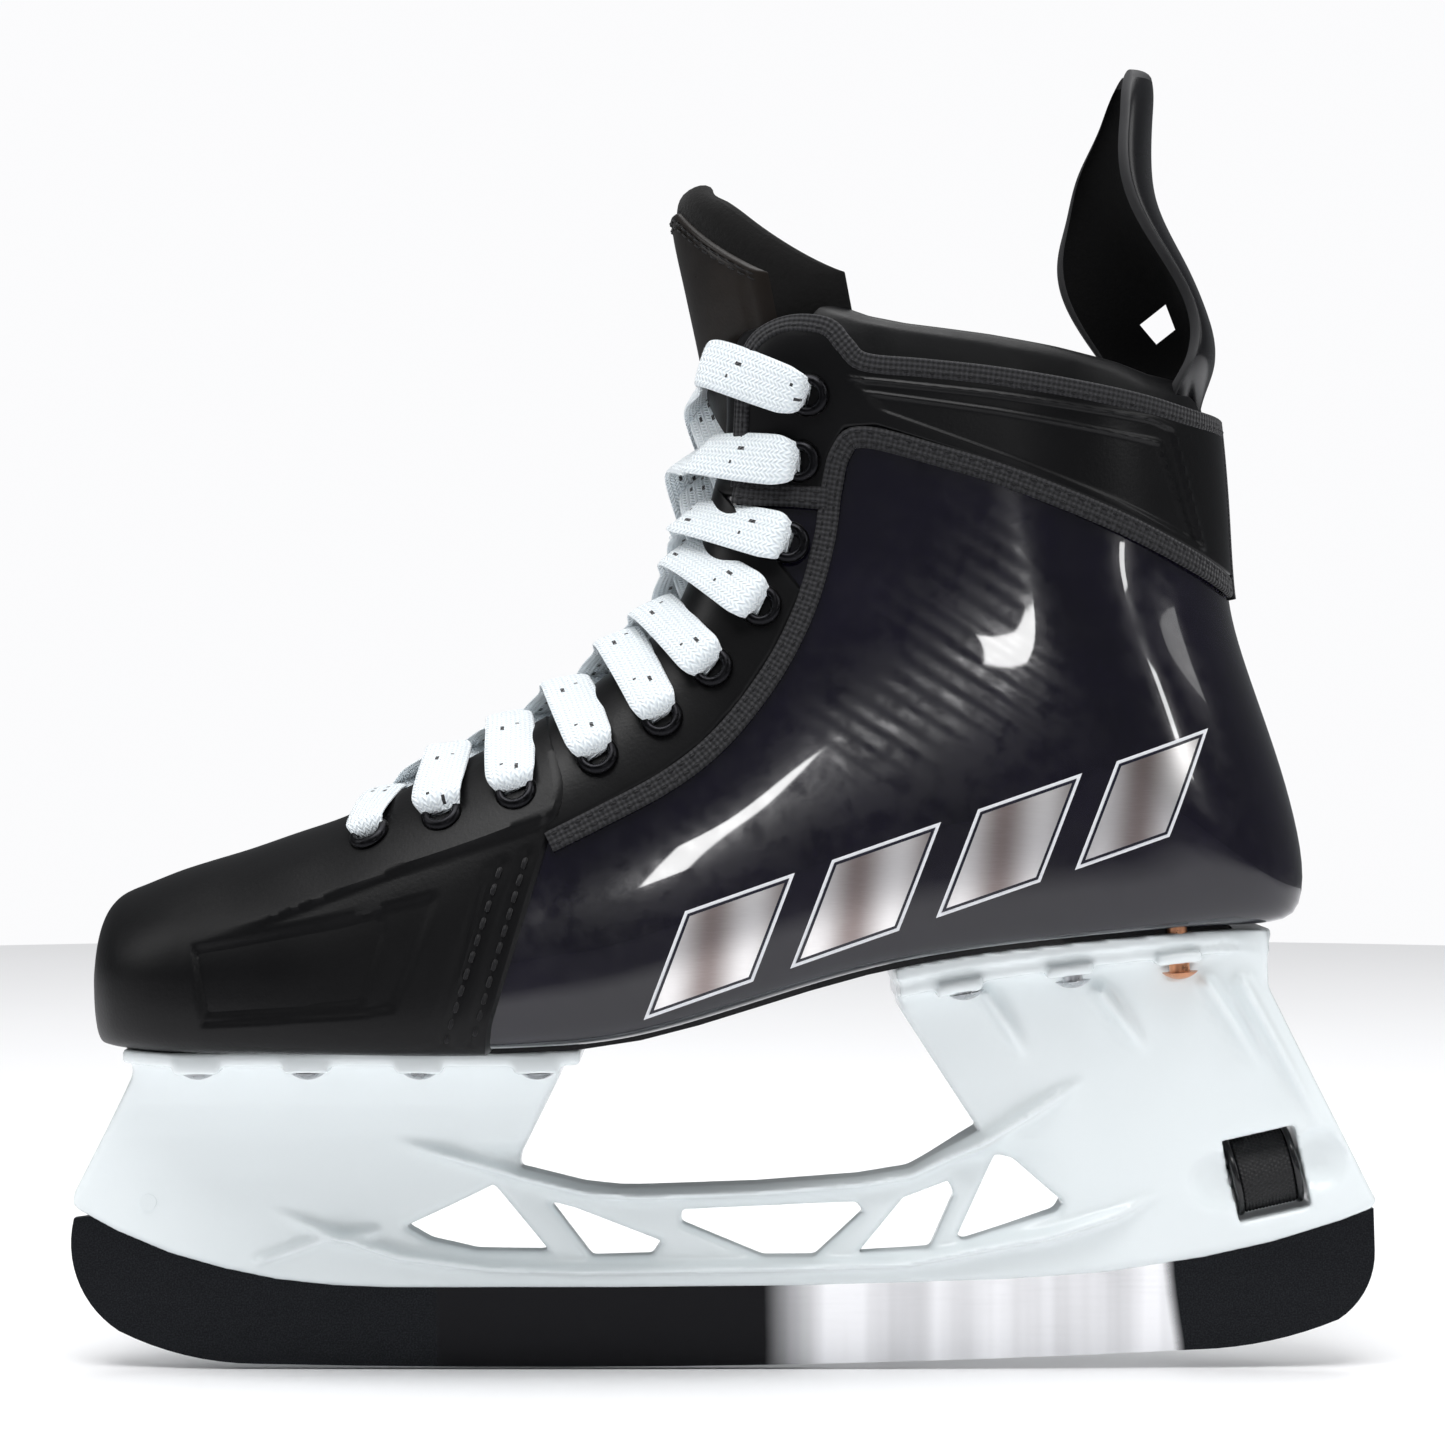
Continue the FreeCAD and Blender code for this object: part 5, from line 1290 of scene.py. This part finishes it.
# ------------------------------------------------------------------ holder
HOLDER_OUTLINE = [(-139.0, 80.0), (-139.9, 70.7), (-155.0, 42.1), (-155.6, 39.4), (-154.2, 37.8),
                  (-145.1, 32.8), (-132.2, 27.4), (-119.4, 23.8), (-106.8, 21.2), (-93.9, 19.8),
                  (-80.0, 19.2), (-24.4, 19.2), (20.0, 19.7), (66.1, 21.1), (92.0, 23.1), (114.6, 26.7),
                  (131.0, 30.6), (147.5, 35.8), (154.6, 38.6), (155.8, 40.6), (154.4, 43.0), (129.0, 92.0),
                  (128.0, 109.0), (40.5, 98.0), (42.0, 86.5), (61.0, 57.4), (44.6, 48.0), (32.5, 46.0),
                  (8.0, 44.2), (-15.6, 43.4), (-24.4, 43.2), (-33.0, 44.2), (-48.4, 48.0), (-48.0, 51.5),
                  (-38.4, 71.0), (-37.5, 80.0)]
WINDOWS = [
    [(-75.8, 34.0), (-54.6, 44.0), (-41.4, 28.0), (-58.9, 28.2), (-69.8, 30.6)],
    [(-41.4, 40.0), (-34.9, 38.2), (-14.6, 30.4), (-16.8, 27.0), (-31.1, 26.6)],
    [(-9.8, 37.9), (32.0, 39.8), (33.6, 37.4), (22.0, 26.6), (9.8, 26.6), (-9.8, 34.7)],
    [(43.2, 40.7), (54.0, 44.8), (55.4, 41.6), (49.6, 28.6), (32.4, 27.6)],
    [(65.2, 51.4), (69.2, 50.4), (81.2, 40.1), (79.8, 37.6), (57.4, 30.4), (56.2, 31.8)],
]
GROOVE = [(-170.0, 8.0), (-170.0, 39.6), (-152.0, 39.6), (-146.0, 48.0), (-121.0, 48.0), (-121.0, 30.5),
          (-107.0, 26.0), (-80.0, 23.6), (0.0, 23.3), (66.0, 25.2), (97.0, 28.6), (97.0, 50.0), (118.7, 50.0),
          (118.7, 33.4), (140.0, 38.2), (152.0, 42.2), (170.0, 44.0), (170.0, 8.0)]
UPPER_CHORD = [(-80.0, 55.4), (-64.0, 51.4), (-48.4, 46.4), (-33.0, 42.6), (-20.0, 41.6), (8.0, 42.6),
               (32.5, 44.6), (44.6, 46.6), (60.5, 54.0), (88.4, 71.6)]
LOWER_RAIL = [(-110.0, 39.0), (-96.0, 33.6), (-77.4, 27.4), (-55.3, 24.4), (-33.2, 23.6), (10.7, 24.4),
              (43.8, 25.6), (76.9, 32.0), (94.4, 37.6), (108.6, 45.0)]
LOW_CREASE = [(-113.0, 24.8), (-95.2, 31.2), (-80.0, 33.4)]
TOWER_RIBS = [[(61.9, 90.5), (73.2, 73.4)], [(88.8, 91.0), (101.8, 74.2)], [(113.9, 92.8), (129.5, 69.7)],
              [(122.6, 92.8), (146.0, 51.0)]]
# height and half thickness of the towers
FRONT_THICK = [(15, 4.6), (26, 5.0), (36, 6.0), (46, 7.4), (56, 9.6), (64, 12.4), (70, 16.0), (77, 20.0),
               (110, 22)]
REAR_THICK = [(15, 4.6), (26, 5.4), (36, 6.4), (46, 7.6), (56, 8.8), (68, 10.2), (78, 11.8), (88, 13.8),
              (99, 15.4), (120, 17)]
# x of the rivets, their distance from the middle and how far below the sole they sit
RIVETS = [((-122.0, -96.5, -70.4, -43.1), 26.0, 7.0), ((55.5, 81.2, 106.6), 19.5, 11.0)]
WHEEL_CENTRE, WHEEL_TILT, WHEEL_RADIUS, WHEEL_LENGTH = (129.3, 47.2), math.radians(13.0), 9.6, 16.4


def soft_max(a, b, k):
    """Larger of two fields, rounded over a width k."""
    h = np.clip(0.5 - 0.5 * (a - b) / k, 0, 1)
    return a + (b - a) * h + k * h * (1 - h)


def soft_min(a, b, k):
    return -soft_max(-a, -b, k)


def make_holder():
    """Injection-moulded holder: a smooth field of distances turned into one skin."""
    cell, reach = (0.8), 4.0
    xs, ys, zs = np.arange(-159, 159.1, cell), np.arange(-33, 33.1, cell), np.arange(15, 112, cell)
    x2, z2 = np.meshgrid(xs, zs, indexing="ij")
    outline = inside(x2, z2, HOLDER_OUTLINE)
    window = np.min([inside(x2, z2, w) for w in WINDOWS], axis=0)
    outline = soft_max(outline, -window, 1.0)
    front = np.interp(z2, *zip(*FRONT_THICK)) * np.interp(x2, [-160, -125, -60, 0], [0.62, 0.86, 1.0, 1.0])
    rear = np.interp(z2, *zip(*REAR_THICK)) * np.interp(x2, [0, 90, 160], [1.0, 1.04, 1.12])
    swell = 2.6 * np.exp(-((x2 - 129.0) / 20.0) ** 2 - ((z2 - 47.0) / 17.0) ** 2)
    thick = np.where(x2 < 0, front, rear + swell)
    bridge = step_up(x2, -66, -50) * (1 - step_up(x2, 62, 84)) * (1 - step_up(z2, 49, 56))
    thick = thick * (1 - bridge) + 4.4 * bridge
    for line, high, wide in ((UPPER_CHORD, 4.2, 1.4), (LOWER_RAIL, 4.0, 1.3), (LOW_CREASE, 2.4, 1.2)):
        dist, along = to_polyline(x2, z2, line)
        thick += high * np.exp(-(dist / wide) ** 2) * step_up(along, 0.0, 0.12) * (1 - step_up(along, 0.88, 1.0))
    for line in TOWER_RIBS:
        dist, along = to_polyline(x2, z2, line)
        thick += 4.0 * np.exp(-(dist / 1.8) ** 2) * (1 - step_up(along, 0.35, 1.0))
    s, r = station(x2, z2)
    below = r - sole_r(s)
    y = np.abs(ys)[None, :, None]

    def spread(a):
        return a[:, None, :]

    body = soft_max(y - spread(thick), spread(outline), 2.2)
    # flanges under the sole, the rear one with a step
    plan = np.minimum(30.5, sole_w(s) + 0.5)
    front_x = np.maximum(x2 + 33.0, -140.5 - x2)
    front_plate = soft_max(y - spread(plan), spread(np.maximum(below - 5.2, front_x)), 0.9)
    plan = np.minimum(23.5, sole_w(s) - 0.5)
    rear_x = np.maximum(x2 - 129.5, 40.5 - x2)
    upper = soft_max(y - spread(plan), spread(np.maximum(below - 5.4, rear_x)), 0.8)
    lower = soft_max(y - spread(plan - 1.3), spread(np.maximum(below - 9.1, rear_x + 1.0)), 0.8)
    plates = np.minimum(np.minimum(upper, lower), front_plate)
    field = soft_min(body, plates, 2.4)
    for spots, at, drop in RIVETS:
        for px in spots:
            boss = np.maximum(np.abs(xs[:, None] - px) - 5.4, np.abs(np.abs(ys)[None, :] - at) - 4.7)[:, :, None]
            level = spread(np.maximum(below - drop, drop - 3.6 - below))
            field = soft_min(field, soft_max(boss, level, 0.8), 0.8)
            head = np.hypot(xs[:, None] - px, np.abs(ys)[None, :] - at)[:, :, None] - 4.7
            depth = spread(np.maximum(drop - 0.2 - below, below - drop - 5.0))
            field = np.maximum(field, -np.maximum(head, depth))
    field = np.maximum(field, spread(1.75 - below))
    # runner groove, wheel pocket and thumb scoops
    groove = np.maximum(spread(inside(x2, z2, GROOVE)), y - 1.58)
    field = np.maximum(field, -groove)
    ca, sa = math.cos(WHEEL_TILT), math.sin(WHEEL_TILT)
    dx, dz = x2 - WHEEL_CENTRE[0], z2 - WHEEL_CENTRE[1]
    lengthwise, upright = dx * ca + dz * sa, -dx * sa + dz * ca
    pocket = np.maximum(np.abs(lengthwise) - WHEEL_LENGTH / 2 - 0.6, np.abs(upright) - WHEEL_RADIUS - 0.5)
    field = soft_max(field, -spread(pocket), 0.8)
    for off, rx in ((-12.5, 9.5), (12.5, 8.5)):
        scoop = np.sqrt(spread(((lengthwise - off) / rx) ** 2 + (upright / 9.0) ** 2) + ((y - 13.5) / 6.5) ** 2)
        field = soft_max(field, (1 - scoop) * 5.0, 0.3)
    grid = openvdb.FloatGrid(reach)
    grid.copyFromArray(np.clip(field, -reach, reach).astype(np.float32))
    points, faces = grid.convertToQuads(0.0)[:2]
    verts = np.asarray(points) * cell + np.array([xs[0], ys[0], zs[0]])
    obj = fix_normals(add_mesh("holder_moulding", verts, faces, M["holder"]))
    relax = obj.modifiers.new("relax", "SMOOTH")
    relax.factor, relax.iterations = 0.5, 2
    apply_modifiers(obj)
    for poly in obj.data.polygons:
        poly.use_smooth = True
    place(obj, "boot", "holder", "holder")


def wheel_points(rings, turns):
    """Lathe of (length, radius function of angle) about the wheel's tilted axis."""
    ca, sa = math.cos(WHEEL_TILT), math.sin(WHEEL_TILT)
    axis, up, side = np.array([ca, 0, sa]), np.array([-sa, 0, ca]), np.array([0, 1.0, 0])
    q = np.arange(turns) * 2 * math.pi / turns
    centre = np.array([WHEEL_CENTRE[0], 0, WHEEL_CENTRE[1]])
    spokes = np.cos(q)[:, None] * up + np.sin(q)[:, None] * side
    return np.array([centre + axis * a + spokes * np.broadcast_to(r(q), q.shape)[:, None] for a, r in rings])


def make_wheel():
    """Knurled thumb wheel between two smooth rims."""
    span = WHEEL_LENGTH / 2 - 2.0
    rings = [(-span, lambda q: 3.1)]
    for a in np.linspace(-span, span, 60):
        def radius(q, a=a):
            knurl = np.abs(np.sin(q * 24 + a * 1.9)) * np.abs(np.sin(q * 24 - a * 1.9))
            return WHEEL_RADIUS - 1.1 + 0.62 * knurl
        rings.append((a, radius))
    rings.append((span, lambda q: 3.1))
    drum = tube_grid("wheel_knurled_drum", wheel_points(rings, 192), M["wheel"], caps=False)
    place(drum, "wheel", "wheel", "thumb_wheel")
    profile = [(-0.95, 3.1), (-0.95, 8.6), (-0.7, 9.3), (-0.3, 9.6), (0.3, 9.6), (0.7, 9.3), (0.95, 8.6),
               (0.95, 3.1)]
    for name, centre in (("front", -WHEEL_LENGTH / 2 + 1.0), ("rear", WHEEL_LENGTH / 2 - 1.0)):
        rings = [(centre + a, (lambda q, r=r: r + 0 * q)) for a, r in profile]
        obj = tube_grid("wheel_rim_" + name, wheel_points(rings, 96), M["wheel_rim"], caps=False)
        place(obj, "wheel", "wheel_rim", *(["wheel_rims"] if name == "front" else []))


def finish_cad_nodes():
    """Materials of the CAD pieces that stay as they are."""
    for node, key in (("runner", "steel"), ("anchor_pin", "holder"), ("lock_bolt", "rivet"),
                      ("front_rivets", "rivet"), ("rear_rivets", "rivet"), ("copper_rivet", "copper"),
                      ("rivet_washers", "rivet"), ("outsole", "outsole"), ("insole_board", "board"),
                      ("footbed", "lining")):
        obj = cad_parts[node]
        for slot in obj.material_slots:
            slot.material = M[key]


studio()
make_shell()
make_toe_cap()
make_facings()
make_bindings()
make_badges()
make_collar()
make_eyelets()
make_lace()
make_tongue()
make_guard()
make_holder()
make_wheel()
finish_cad_nodes()
